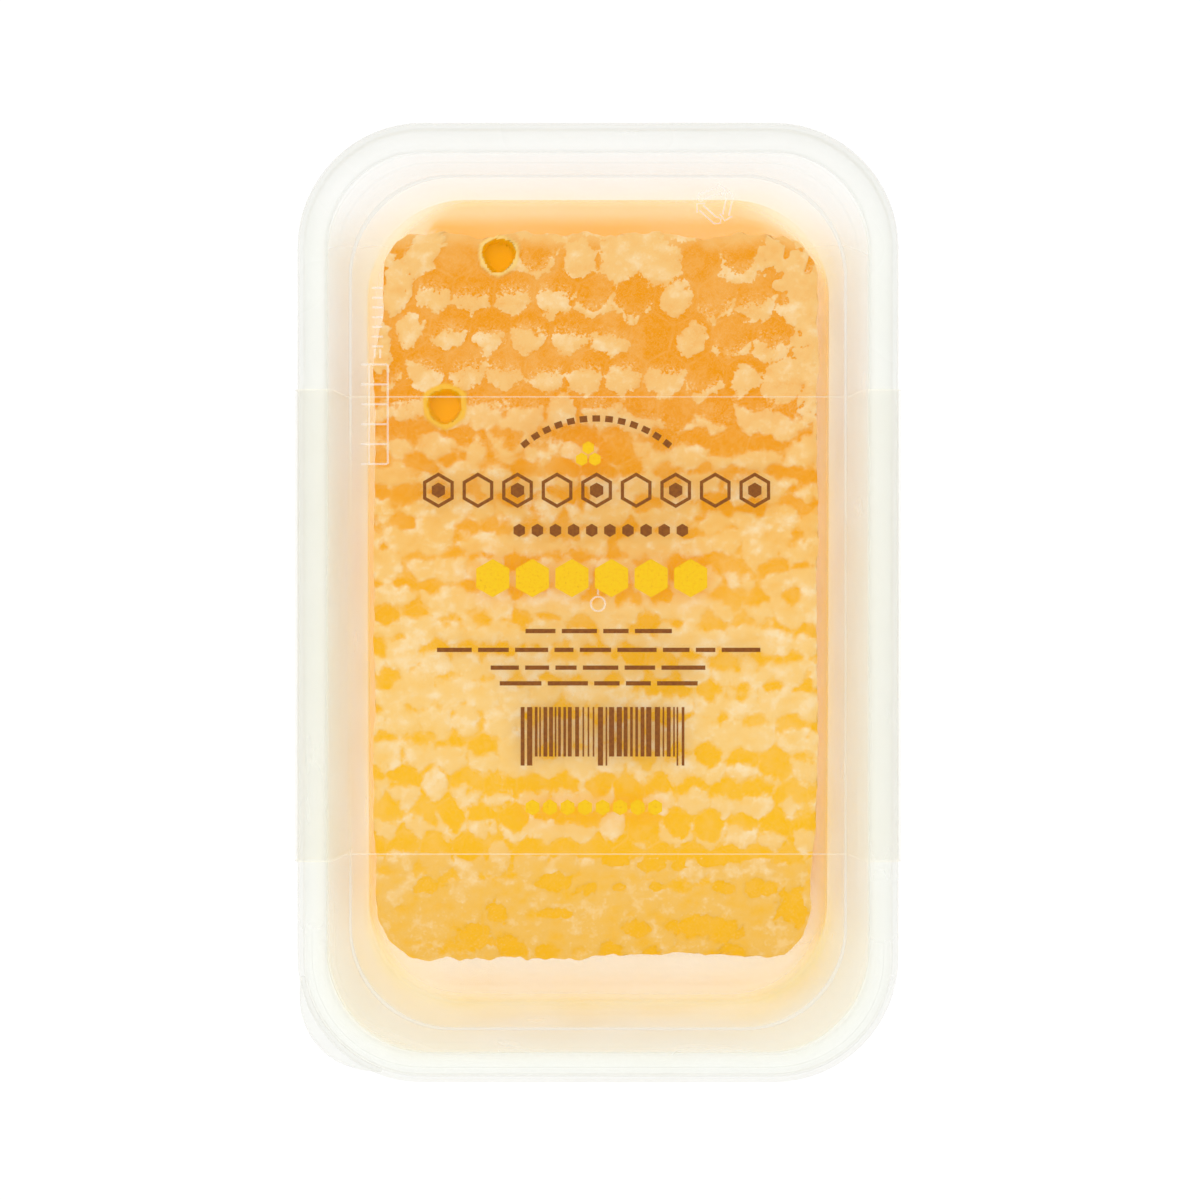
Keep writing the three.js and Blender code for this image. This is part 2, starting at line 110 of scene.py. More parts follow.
def cloudy(seed: int, size: float, x: Array, y: Array) -> Array:
    """Soft noise with a finer and weaker one on top. Returns: Values from about -1 to 1."""
    return SoftNoise(seed, size)(x, y) * 0.7 + SoftNoise(seed + 1, size * 0.43)(x, y) * 0.4


# ---- Meshes ---------------------------------------------------------------------------------


def grid_faces(rows: int, columns: int, wrap_rows: bool = False, wrap_columns: bool = False) -> Array:
    """Quads between neighbouring points of a grid whose points are numbered row by row.

    Args:
        rows, columns: Points each way.
        wrap_rows, wrap_columns: Whether the last joins the first.

    Returns:
        An array of four corners a face. They run anticlockwise where columns run to the right
        and rows run up.
    """
    i, j = np.meshgrid(
        np.arange(rows - (not wrap_rows)), np.arange(columns - (not wrap_columns)), indexing="ij")
    below, above = i * columns, (i + 1) % rows * columns
    right = (j + 1) % columns
    return np.stack([below + j, below + right, above + right, above + j], -1).reshape(-1, 4)


def fan_faces(loop: Array, hub: int) -> Array:
    """Triangles from each side of a closed loop of point numbers to a hub."""
    return np.stack([loop, np.roll(loop, -1), np.full(len(loop), hub)], -1)


@dataclass
class Shape:
    """Points in millimetres, faces by their number of corners, and values kept at the points."""

    points: Array
    faces: list[Array]
    values: dict[str, Array]

    def __add__(self, other: "Shape") -> "Shape":
        """Both shapes as one, each with its own closed surface."""
        shift = len(self.points)
        names = self.values.keys() | other.values.keys()
        pad = lambda shape, name: shape.values.get(name, np.zeros(len(shape.points)))
        return Shape(
            np.concatenate([self.points, other.points]),
            self.faces + [faces + shift for faces in other.faces],
            {name: np.concatenate([pad(self, name), pad(other, name)]) for name in names},
        )


def joined(shapes: Sequence[Shape]) -> Shape:
    """All shapes as one."""
    total = shapes[0]
    for shape in shapes[1:]:
        total = total + shape
    return total


def loft(loops: Array, values: dict[str, Array] | None = None, ring: bool = False) -> Shape:
    """A closed body through loops of equal length.

    Its sides join each loop to the next. Its ends are fans round their loops' middles, unless
    it is a ring, whose last loop joins its first.

    Args:
        loops: Loops by points by three. A loop runs anticlockwise, seen from the body's last end.
        values: One value for each loop, or one for each point of each loop, by name.
        ring: Whether the section closes on itself.

    Returns:
        The shape.
    """
    count, size = loops.shape[:2]
    points = loops.reshape(-1, 3)
    kept = {name: np.broadcast_to(np.reshape(v, (count, -1)), (count, size)).reshape(-1)
            for name, v in (values or {}).items()}
    faces = [grid_faces(count, size, wrap_rows=ring, wrap_columns=True)]
    if not ring:
        total = count * size
        first, last = np.arange(size), np.arange(total - size, total)
        points = np.concatenate([points, loops[:1].mean(1), loops[-1:].mean(1)])
        kept = {name: np.concatenate([v, v[first].mean(keepdims=True), v[last].mean(keepdims=True)])
                for name, v in kept.items()}
        faces += [fan_faces(first[::-1], total), fan_faces(last, total + 1)]
    return Shape(points, faces, kept)


def rounded_loops(half_x: Array, half_y: Array, corner: Array, z: Array, steps: int = 16,
                  between: int = 15) -> Array:
    """Rounded rectangles: a quarter circle of the corner's radius at each of four corners.

    Args:
        half_x, half_y, z: One value for each loop.
        corner: One radius for each loop, or four in the order +X+Y, -X+Y, -X-Y, +X-Y.
        steps: Flats in a quarter circle.
        between: Points between the corners on the +X and the -X side, where values vary.

    Returns:
        Loops by points by three, each anticlockwise from +X, seen from above.
    """
    half_x, half_y, z = (np.atleast_1d(np.asarray(v, float))[:, None] for v in (half_x, half_y, z))
    radius = np.asarray(corner, float)
    radius = radius[:, None] * np.ones(4) if radius.ndim else np.full((1, 4), float(radius))
    if np.shape(corner) == (4,) and len(half_x) == 1:
        radius = np.asarray(corner, float)[None]
    quarter = np.repeat(np.arange(4), steps + 1)
    turn = (quarter + np.tile(np.arange(steps + 1) / steps, 4)) * math.pi / 2
    sign_x, sign_y = np.array([1, -1, -1, 1])[quarter], np.array([1, 1, -1, -1])[quarter]
    radius = radius[:, quarter]
    x = sign_x * (half_x - radius) + radius * np.cos(turn)
    y = sign_y * (half_y - radius) + radius * np.sin(turn)
    loops = np.stack([x, y, np.broadcast_to(z, x.shape)], -1)
    first, second = loops[:, :2 * steps + 2], loops[:, 2 * steps + 2:]
    share = (np.arange(1, between + 1) / (between + 1))[:, None]
    left = lerp(first[:, -1:], second[:, :1], share)
    right = lerp(second[:, -1:], first[:, :1], share)
    return np.concatenate([first, left, second, right], 1)


def prism(outline: Array, low: float, high: float) -> Shape:
    """A flat outline, anticlockwise from above, carried straight up from low to high."""
    loops = np.stack([np.column_stack([outline, np.full(len(outline), z)]) for z in (low, high)])
    return loft(loops)


def ridge(path: Array, width: float, top: float, bottom: float, closed: bool = False) -> Shape:
    """A half-round ridge that hangs from a level along a flat path.

    Its section is half an ellipse: width times cosine across, and the drop times sine down.

    Args:
        path: Points by two.
        width: Across the ridge.
        top: Level that it hangs from.
        bottom: Level of its crest.
        closed: Whether the path's end joins its start.

    Returns:
        The shape.
    """
    if closed:
        ahead, behind = np.roll(path, -1, 0), np.roll(path, 1, 0)
    else:
        ahead, behind = np.vstack([path[1:], path[-1:]]), np.vstack([path[:1], path[:-1]])
    along = ahead - behind
    along /= np.linalg.norm(along, axis=1, keepdims=True)
    left = np.column_stack([-along[:, 1], along[:, 0]])
    turn = np.linspace(0, math.pi, 7)
    across, drop = np.cos(turn) * width / 2, np.sin(turn) * (top - bottom)
    flat = path[:, None] + left[:, None] * across[None, :, None]
    height = np.broadcast_to(top - drop, flat.shape[:2])
    return loft(np.concatenate([flat, height[..., None]], -1), ring=closed)


def make_piece(name: str, shape: Shape, finish: "Finish", slot: str, *nodes: str,
               crease: float = 40) -> bpy.types.Object:
    """Puts a shape into the scene as a piece that rides on the pack's one body.

    Args:
        name: The piece's name.
        shape: Its points, faces and values.
        finish: What makes its material.
        slot: The record's material slot. Not used.
        nodes: CAD nodes that it stands for.
        crease: Edges sharper than this many degrees stay sharp.

    Returns:
        The new object.
    """
    mesh = bpy.data.meshes.new(name)
    mesh.vertices.add(len(shape.points))
    mesh.vertices.foreach_set("co", (shape.points * MM).astype(np.float32).ravel())
    sizes = np.concatenate([np.full(len(faces), faces.shape[1]) for faces in shape.faces])
    corners = np.concatenate([faces.ravel() for faces in shape.faces]).astype(np.int32)
    mesh.loops.add(len(corners))
    mesh.loops.foreach_set("vertex_index", corners)
    mesh.polygons.add(len(sizes))
    mesh.polygons.foreach_set("loop_start", (np.cumsum(sizes) - sizes).astype(np.int32))
    mesh.polygons.foreach_set("use_smooth", np.ones(len(sizes), bool))
    mesh.update(calc_edges=True)
    mesh.validate()
    for key, values in shape.values.items():
        layer = mesh.attributes.new(key, "FLOAT", "POINT")
        layer.data.foreach_set("value", np.asarray(values, np.float32))
    mesh.set_sharp_from_angle(angle=math.radians(crease))
    piece = bpy.data.objects.new(name, mesh)
    bpy.context.scene.collection.objects.link(piece)
    piece.data.materials.append(finish.material())
    piece.visible_shadow = finish.casts_shadow
    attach(piece, BODY)
    if nodes:
        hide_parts(*nodes)
    LOG.info("%s: %d points, %d faces", name, len(shape.points), len(sizes))
    return piece


# ---- Shader wiring --------------------------------------------------------------------------

Input = Union["Socket", float, Sequence[float]]


@dataclass(frozen=True)
class Socket:
    """A node's output. Sums and products on it add Math nodes."""

    recipe: "Recipe"
    link: bpy.types.NodeSocket

    def math(self, operation: str, *inputs: Input, clamp: bool = False) -> "Socket":
        """Adds a Math node. Args: operation: Its kind. inputs: Its values. Returns: Its output."""
        settings = {"operation": operation, "use_clamp": clamp}
        return self.recipe.node("ShaderNodeMath", settings, dict(enumerate(inputs)))

    def __add__(self, other: Input) -> "Socket":
        """The sum."""
        return self.math("ADD", self, other)

    __radd__ = __add__

    def __sub__(self, other: Input) -> "Socket":
        """The difference."""
        return self.math("SUBTRACT", self, other)

    def __rsub__(self, other: Input) -> "Socket":
        """The difference from a number."""
        return self.math("SUBTRACT", other, self)

    def __mul__(self, other: Input) -> "Socket":
        """The product."""
        return self.math("MULTIPLY", self, other)

    __rmul__ = __mul__

    def __truediv__(self, other: Input) -> "Socket":
        """The quotient."""
        return self.math("DIVIDE", self, other)

    def clipped(self) -> "Socket":
        """The value, kept from 0 to 1."""
        return self.math("ADD", self, 0.0, clamp=True)

    def larger(self, other: Input) -> "Socket":
        """The larger of two values."""
        return self.math("MAXIMUM", self, other)

    def size(self) -> "Socket":
        """The value without its sign."""
        return self.math("ABSOLUTE", self)

    def step(self, low: Input, high: Input) -> "Socket":
        """Rises smoothly from 0 at low to 1 at high."""
        return self.recipe.node("ShaderNodeMapRange", {"interpolation_type": "SMOOTHSTEP"},
                                {"Value": self, "From Min": low, "From Max": high})


class Recipe:
    """One material's nodes."""

    def __init__(self, name: str) -> None:
        """Starts an empty node tree. Args: name: The material's name."""
        self.material = bpy.data.materials.new(name)
        self.material.use_nodes = True
        self.tree = self.material.node_tree
        self.tree.nodes.clear()

    def node(self, kind: str, settings: dict | None = None, inputs: dict | None = None,
             output: int | str = 0) -> Socket:
        """Adds any node.

        Args:
            kind: The node's type.
            settings: Its own properties. "stops" gives a ramp's places and colours.
            inputs: Numbers, colours or sockets by the input's name or number.
            output: Name or number of the output to return.

        Returns:
            The output as a Socket.
        """
        node = self.tree.nodes.new(kind)
        for key, value in (settings or {}).items():
            if key == "stops":
                self._set_stops(node.color_ramp, value)
            else:
                setattr(node, key, value)
        for key, value in (inputs or {}).items():
            if isinstance(value, Socket):
                self.tree.links.new(value.link, node.inputs[key])
            else:
                wants_alpha = node.inputs[key].type == "RGBA"
                node.inputs[key].default_value = (*value, 1.0) if wants_alpha else value
        return Socket(self, node.outputs[output])

    @staticmethod
    def _set_stops(ramp: bpy.types.ColorRamp, stops: Sequence[tuple[float, Colour]]) -> None:
        """Gives a ramp its stops. Args: ramp: The ramp. stops: Places and colours, in order."""
        while len(ramp.elements) < len(stops):
            ramp.elements.new(1.0)
        for element, (place, colour) in zip(ramp.elements, stops):
            element.position = place
            element.color = (*colour, 1.0)

    def kept(self, name: str) -> Socket:
        """The value kept at a piece's points under a name."""
        return self.node("ShaderNodeAttribute", {"attribute_name": name}, output="Fac")

    def place(self, stretch: Sequence[float] = (1, 1, 1), shift: Sequence[float] = (0, 0, 0)) -> Socket:
        """Object coordinates in metres, stretched and shifted."""
        here = self.node("ShaderNodeTexCoord", output="Object")
        return self.node("ShaderNodeMapping", {}, {"Vector": here, "Location": shift, "Scale": stretch})

    def axis(self, name: str) -> Socket:
        """One of the object coordinates X, Y and Z, in millimetres."""
        here = self.node("ShaderNodeTexCoord", output="Object")
        return self.node("ShaderNodeSeparateXYZ", {}, {0: here}, output=name) * (1 / MM)

    def noise(self, size: float, detail: float = 2, rough: float = 0.5, where: Socket | None = None,
              shift: float = 0.0) -> Socket:
        """Cloudy noise from 0 to 1.

        Args:
            size: The clouds' size in millimetres.
            detail: Octaves.
            rough: How strong the finer octaves are.
            where: Coordinates. Object coordinates if left out.
            shift: Moves to another part of the pattern, in metres.

        Returns:
            The noise.
        """
        vector = where or self.place(shift=(shift, shift * 0.7, 0))
        return self.node("ShaderNodeTexNoise", {}, {
            "Vector": vector, "Scale": 1 / (size * MM), "Detail": detail, "Roughness": rough})

    def ramp(self, factor: Socket, stops: Sequence[tuple[float, Colour]]) -> Socket:
        """A colour along a ramp of stops."""
        return self.node("ShaderNodeValToRGB", {"stops": stops}, {0: factor})

    def mix(self, factor: Input, first: Input, second: Input) -> Socket:
        """The colour that lies between two at a factor."""
        return self.node("ShaderNodeMix", {"data_type": "RGBA"}, {0: factor, 6: first, 7: second}, 2)

    def bump(self, height: Socket, distance: float, strength: float = 1.0) -> Socket:
        """A normal that follows a height. Args: distance: Millimetres that a height of 1 stands for."""
        return self.node("ShaderNodeBump", {}, {
            "Height": height, "Distance": distance * MM, "Strength": strength})

    def done(self, **inputs: Input) -> bpy.types.Material:
        """Joins a Principled shader to the output.

        Args:
            inputs: Its inputs, with an underscore for each space.

        Returns:
            The finished material.
        """
        named = {key.replace("_", " "): value for key, value in inputs.items()}
        shader = self.node("ShaderNodeBsdfPrincipled", {}, named)
        end = self.tree.nodes.new("ShaderNodeOutputMaterial")
        self.tree.links.new(shader.link, end.inputs["Surface"])
        return self.material


class Finish:
    """Something that makes a material. Each kind of finish has its own fields.

    What is clear casts no shadow, since light passes it nearly whole.
    """

    casts_shadow = True

    def material(self) -> bpy.types.Material:
        """The finished material."""
        raise NotImplementedError


# ---- Finishes -------------------------------------------------------------------------------

BLACK = (0.0, 0.0, 0.0)
# The colour of the painted honey glow: light through the honey, painted into the plastic.
PAINTED_HONEY_GLOW = (1.0, 0.81, 0.0)


@dataclass(frozen=True)
class PlasticFinish(Finish):
    """Milky moulded plastic. haze is how opaque each face is, tint how much painted honey glow it
    has, standing in for light through the honey, and shade how much painted shade darkens it,
    all kept at the points."""

    casts_shadow: ClassVar[bool] = False
    name: str
    body: Colour = (0.84, 0.845, 0.815)
    # The colour that painted shade darkens towards.
    shaded: Colour = (0.55, 0.58, 0.50)
    roughness: float = 0.24

    def material(self) -> bpy.types.Material:
        """The finished material."""
        r = Recipe(self.name)
        cloud = r.noise(9, detail=0)
        # tint mixes in the painted honey glow, and shade the painted shade.
        tint = (r.kept("tint") * (0.8 + 0.4 * cloud)).clipped()
        colour = r.mix(tint, self.body, PAINTED_HONEY_GLOW)
        colour = r.mix(r.kept("shade"), colour, self.shaded)
        alpha = r.kept("haze") * (0.9 + 0.2 * cloud)
        return r.done(
            Base_Color=colour, Alpha=alpha, Roughness=self.roughness + 0.16 * cloud,
            Normal=r.bump(cloud, 0.15, 0.4), Specular_IOR_Level=0.3)


@dataclass(frozen=True)
class FilmFinish(Finish):
    """Clear label film: nearly unseen where flat, with a pale cut edge, yellowish where it wraps
    the sides."""

    casts_shadow: ClassVar[bool] = False
    name: str = "label_film"
    clear: Colour = (0.96, 0.90, 0.70)
    wrapped: Colour = (0.77, 0.75, 0.62)
    cut_edge: Colour = (0.98, 0.93, 0.74)

    def material(self) -> bpy.types.Material:
        """The finished material."""
        r = Recipe(self.name)
        cloud = r.noise(6, detail=1)
        colour = r.mix(r.kept("tint"), self.clear, self.wrapped)
        colour = r.mix(r.kept("edge"), colour, self.cut_edge)
        alpha = (r.kept("haze") * (0.8 + 0.4 * cloud)).clipped()
        return r.done(
            Base_Color=colour, Alpha=alpha, Roughness=0.28 + 0.12 * cloud,
            Normal=r.bump(cloud, 0.05, 0.3), Specular_IOR_Level=0.3)


@dataclass(frozen=True)
class InkFinish(Finish):
    """A printed ink that is a little thin in places."""

    casts_shadow: ClassVar[bool] = False
    name: str
    ink: Colour
    thin: Colour
    cover: float = 0.9

    def material(self) -> bpy.types.Material:
        """The finished material."""
        r = Recipe(self.name)
        grain = r.noise(0.5, detail=3, rough=0.7)
        colour = r.mix(grain.step(0.35, 0.75), self.ink, self.thin)
        return r.done(
            Base_Color=colour, Alpha=(self.cover - 0.2 * grain.step(0.55, 0.8)),
            Roughness=0.42 + 0.1 * grain, Specular_IOR_Level=0.2)


@dataclass(frozen=True)
class CombFinish(Finish):
    """Wax over honey, from values kept at the points.

    cap is above 0 where wax hides the honey, and soft is how gently it begins. veil is where
    the wax is torn to grains and threads. thin is where the honey is pale. shine is above 0
    where the wax takes a painted highlight and below 0 where honey stains it. wall is near 1 on
    the cells' borders. lip and cup mark the open cells, whose honey has a painted glow that
    stands in for light through the wax round it.
    """

    name: str = "wax_and_honey"
    # Millimetres from the block's -Y end to the tub's middle, and to its own +Y end.
    behind: float = 51.0
    length: float = 104.5
    # Honey and wax along the block, from its -Y end to its +Y end.
    honey: tuple[tuple[float, str], ...] = (
        (0.0, "f7b61c"), (0.14, "f9bb1a"), (0.2, "fbbd16"), (0.42, "fab818"),
        (0.62, "f5a20a"), (0.74, "f1990a"), (1.0, "f19a0c"))
    wax: tuple[tuple[float, str], ...] = (
        (0.0, "f3bd57"), (0.13, "f5c263"), (0.16, "f9cd7e"), (0.3, "fad082"),
        (0.45, "face80"), (0.62, "f8c26a"), (0.75, "f7c57a"), (1.0, "f7c67a"))
    # The pale colour of painted highlights on the wax, and of the specks of torn wax.
    white: Colour = tone("fde3b4")
    lips: tuple[Colour, Colour] = (tone("f9be40"), tone("fcd27c"))
    cups: tuple[Colour, Colour] = (tone("e89c08"), tone("efab1a"))
    # The colour and strength of the open cells' painted glow.
    painted_cup_glow: Colour = (0.75, 0.62, 0.0)
    cup_strength: float = 0.19

    def material(self) -> bpy.types.Material:
        """The finished material."""
        r = Recipe(self.name)
        along = (r.axis("Y") + self.behind) / self.length
        fine = r.noise(0.42, detail=2, rough=0.6)
        curl = r.noise(1.5, detail=2, rough=0.7, shift=0.05)
        soft, veil = r.kept("soft"), r.kept("veil")
        rough = ((fine - 0.5) * (veil * 0.5 + 0.3) + (curl - 0.5) * 0.42) * (1.15 - soft * 2.4)
        level = r.kept("cap") + rough
        wax = level.step(0 - soft, soft)
        honey_tone = r.ramp(along, [(place, tone(code)) for place, code in self.honey])
        wax_tone = r.ramp(along, [(place, tone(code)) for place, code in self.wax])
        honey_tone = r.mix(r.kept("thin").clipped(), honey_tone, wax_tone)
        hair = r.noise(0.8, detail=1, rough=0.5, shift=2.1)
        lines = (1 - (curl - 0.5).size().step(0.012, 0.045)).larger(
            1 - (hair - 0.5).size().step(0.01, 0.04))
        specks = r.noise(0.3, detail=0, shift=4).step(0.64, 0.74) * veil
        threads = (veil * fine.step(0.48, 0.6) * 0.8).larger(lines * (veil * 0.45 + 0.14))
        walls = r.kept("wall").step(0.9, 0.99) * 0.5 * curl
        honey_tone = r.mix(threads.larger(walls), honey_tone, wax_tone)
        honey_tone = r.mix(specks * 0.6, honey_tone, self.white)
        shine = r.kept("shine")
        wax_tone = r.mix((0 - shine).clipped(), wax_tone, honey_tone)
        # Painted highlights: shine and noise whiten the wax.
        white = (shine + fine.step(0.54, 0.8) * 0.35 + curl.step(0.45, 0.7) * 0.3 - 0.08).clipped()
        wax_tone = r.mix(white, wax_tone, self.white)
        colour = r.mix(wax, honey_tone, wax_tone)
        lip_tone = r.mix(along.step(0.8, 0.9), *self.lips)
        colour = r.mix(r.kept("lip").clipped(), colour, lip_tone)
        # The open cells' honey takes its own colour and a painted glow.
        cup = r.kept("cup").step(0.0, 0.06)
        colour = r.mix(cup, colour, r.mix(curl, *self.cups))
        return r.done(
            Base_Color=colour, Roughness=0.36 + 0.16 * wax + 0.08 * fine,
            Normal=r.bump(fine, 0.08, 0.5), Specular_IOR_Level=0.05,
            Emission_Color=r.mix(cup, BLACK, self.painted_cup_glow), Emission_Strength=self.cup_strength)


@dataclass(frozen=True)
class HoneyFinish(Finish):
    """Clear honey: the deeper, the more it hides. depth is kept at the points, from 0 to 1.

    A painted glow stands in for light that comes up through it.
    """

    casts_shadow: ClassVar[bool] = False
    name: str = "honey"
    thin: Colour = (0.98, 0.71, 0.12)
    deep: Colour = (0.94, 0.475, 0.04)
    # The colour of the painted glow.
    lit: Colour = (0.9, 0.54, 0.11)

    def material(self) -> bpy.types.Material:
        """The finished material."""
        r = Recipe(self.name)
        cloud = r.noise(9, detail=1, where=r.place(stretch=(0.5, 1.6, 1)))
        depth = (r.kept("depth") * (0.88 + 0.24 * cloud)).clipped()
        return r.done(
            Base_Color=r.mix(depth, self.thin, self.deep), Alpha=depth,
            Roughness=0.14 + 0.1 * cloud, Normal=r.bump(cloud, 0.2, 0.3), Specular_IOR_Level=0.4,
            Emission_Color=self.lit, Emission_Strength=0.1)


@dataclass(frozen=True)
class FloorFinish(Finish):
    """A pale lit table."""

    name: str = "pale_table"
    pale: Colour = (0.14, 0.14, 0.14)
    grey: Colour = (0.12, 0.12, 0.12)
    glow: float = 0.92

    def material(self) -> bpy.types.Material:
        """The finished material."""
        r = Recipe(self.name)
        cloud = r.noise(60, detail=2).step(0.3, 0.7)
        return r.done(
            Base_Color=r.mix(cloud * 0.2, self.pale, self.grey), Roughness=0.9, Specular_IOR_Level=0.0,
            Emission_Color=(1.0, 1.0, 1.0), Emission_Strength=self.glow)


# ---- The tub and its lid --------------------------------------------------------------------


@dataclass(frozen=True)
class Rim:
    """The lid's outer edge, seen from above, that all of the pack is set out from."""

    half_x: float = 43.0
    half_y: float = 68.65
    corner: float = 17.9
    height: float = 36.0

    def loops(self, inset: Array, z: Array, corner: Array | None = None) -> Array:
        """Loops at distances in from the edge, with the edge's own corner or another."""
        inset = np.asarray(inset, float)
        corner = self.corner - inset if corner is None else corner
        return rounded_loops(self.half_x - inset, self.half_y - inset, corner, z)


RIM = Rim()


@dataclass
class Tub:
    """The tub: a tray with rounded floor edges, leaning walls and a flange turned down at its rim."""

    wall: float = 0.75
    floor: float = 0.8
    mouth_inset: float = 4.1
    mouth_z: float = 34.9
    mouth_corner: float = 15.0
    base_half_x: float = 34.3
    base_half_y: float = 59.9
    base_corner: float = 14.6
    fillet: float = 2.4
    outer_fillet: float = 3.0
    flange_inset: float = 1.1
    flange_thick: float = 0.9
    lip_drop: float = 2.3
    # How much painted honey glow tints the wall at places along the tub, near its floor and its mouth.
    glow_y: tuple[float, ...] = (-64, -52, -44, -36, -28, 14, 20, 28, 36, 46, 58, 64)
    glow_low: tuple[float, ...] = (
        0.74, 0.78, 0.78, 0.8, 0.86, 0.84, 0.54, 0.36, 0.28, 0.32, 0.66, 0.66)
    glow_high: tuple[float, ...] = (
        0.46, 0.48, 0.48, 0.42, 0.34, 0.31, 0.22, 0.18, 0.12, 0.1, 0.1, 0.05)

    def section(self, z: Array, outward: float = 0.0) -> tuple[Array, Array, Array]:
        """Half width, half length and corner radius of the inside at a height.

        They grow evenly from the floor to the mouth. outward adds a wall.
        """
        share = (np.asarray(z, float) - self.floor) / (self.mouth_z - self.floor)
        mouth_x, mouth_y = RIM.half_x - self.mouth_inset, RIM.half_y - self.mouth_inset
        return (lerp(self.base_half_x, mouth_x, share) + outward,
                lerp(self.base_half_y, mouth_y, share) + outward,
                lerp(self.base_corner, self.mouth_corner, share) + outward)

    def loops(self, z: Array, outward: float = 0.0, inset: Array = 0.0) -> Array:
        """Loops on the wall, or nearer to the middle by an inset."""
        half_x, half_y, corner = self.section(z, outward)
        return rounded_loops(half_x - inset, half_y - inset, corner - inset, z)

    def fillet_loops(self, level: float, outward: float, radius: float) -> tuple[Array, Array]:
        """The quarter turn from a wall down to a level: radius times 1 - sine up, 1 - cosine in."""
        turn = np.linspace(0, math.pi / 2, 9)
        z = level + radius * (1 - np.sin(turn))
        return self.loops(z, outward, radius * (1 - np.cos(turn))), z

    def shape(self) -> Shape:
        """The whole shell, from the middle of its underside out and back to its floor."""
        under, lip = self.mouth_z - self.flange_thick, self.mouth_z - self.lip_drop
        outer, outer_z = self.fillet_loops(0.0, self.wall, self.outer_fillet)
        inner, inner_z = self.fillet_loops(self.floor, 0.0, self.fillet)
        wall_z = np.linspace(outer_z[0], under, 9)[1:]
        inside_z = np.linspace(self.mouth_z - 0.25, inner_z[0], 9)[:-1]
        outer_edge, inner_edge = self.flange_inset, self.flange_inset + self.flange_thick
        flange = RIM.loops(
            [inner_edge, inner_edge, inner_edge, outer_edge, outer_edge, outer_edge + 0.3],
            [under, under - 0.3, lip, lip, self.mouth_z - 0.3, self.mouth_z])
        loops = np.concatenate([
            outer[::-1], self.loops(wall_z, self.wall), flange,
            self.loops(self.mouth_z, -0.25), self.loops(inside_z), inner])
        on_flange = np.zeros((len(loops), 1))
        first = len(outer) + len(wall_z)
        on_flange[first:first + len(flange) + 1] = 1
        return loft(loops, self.looks(loops, on_flange))

    def looks(self, loops: Array, on_flange: Array) -> dict[str, Array]:
        """Haze, tint and shade over the shell.

        The walls' haze falls from floor to mouth and again towards the +Y end, which paints that
        end lighter. A painted honey glow tints them beside the block, most low down, less high up
        on the +X side. The +X side's lower part has more painted glow at its foot. The -Y end has a
        little painted shade above its foot, and the flange a little painted shade all round.

        Args:
            loops: The shell's loops.
            on_flange: 1 for a loop on the flange and 0 for another, as a column.

        Returns:
            The values at the points, by name.
        """
        x, y, z = loops[..., 0], loops[..., 1], loops[:, :1, 2]
        share = np.clip(z / self.mouth_z, 0, 1)
        bottom = 1 - smooth_step(0.0, 1.5, z)
        haze = lerp(lerp(0.40, 0.28, share), 0.03, bottom)
        # Less haze at the +Y end paints that end lighter.
        thin = 1 - lerp(0.5, 0.85, share) * smooth_step(48, 60, y)
        foot = smooth_step(0.36, 0.14, share)
        low = np.interp(y, self.glow_y, self.glow_low) * lerp(1.0, 0.82 + 0.4 * foot, x > 0)
        high = np.interp(y, self.glow_y, self.glow_high) * lerp(1.0, 0.75, smooth_step(-20, 20, x))
        tint = lerp(low, high, smooth_step(0.08, 0.9, share))
        # Painted shade on the -Y end above its foot, and on the flange.
        shade = 0.14 * smooth_step(-28, -42, y) * smooth_step(0.2, 0.5, share)
        return {
            "haze": lerp(haze, 0.20, on_flange) * thin,
            "tint": lerp(tint, 0.03, on_flange),
            "shade": lerp(shade, 0.1, on_flange)}

    def build(self) -> bpy.types.Object:
        """Makes the tub. Returns: The piece."""
        return make_piece(
            "tub_shell", self.shape(), PlasticFinish("tub_plastic", body=(0.90, 0.96, 0.90)),
            "tub_plastic", "tub")


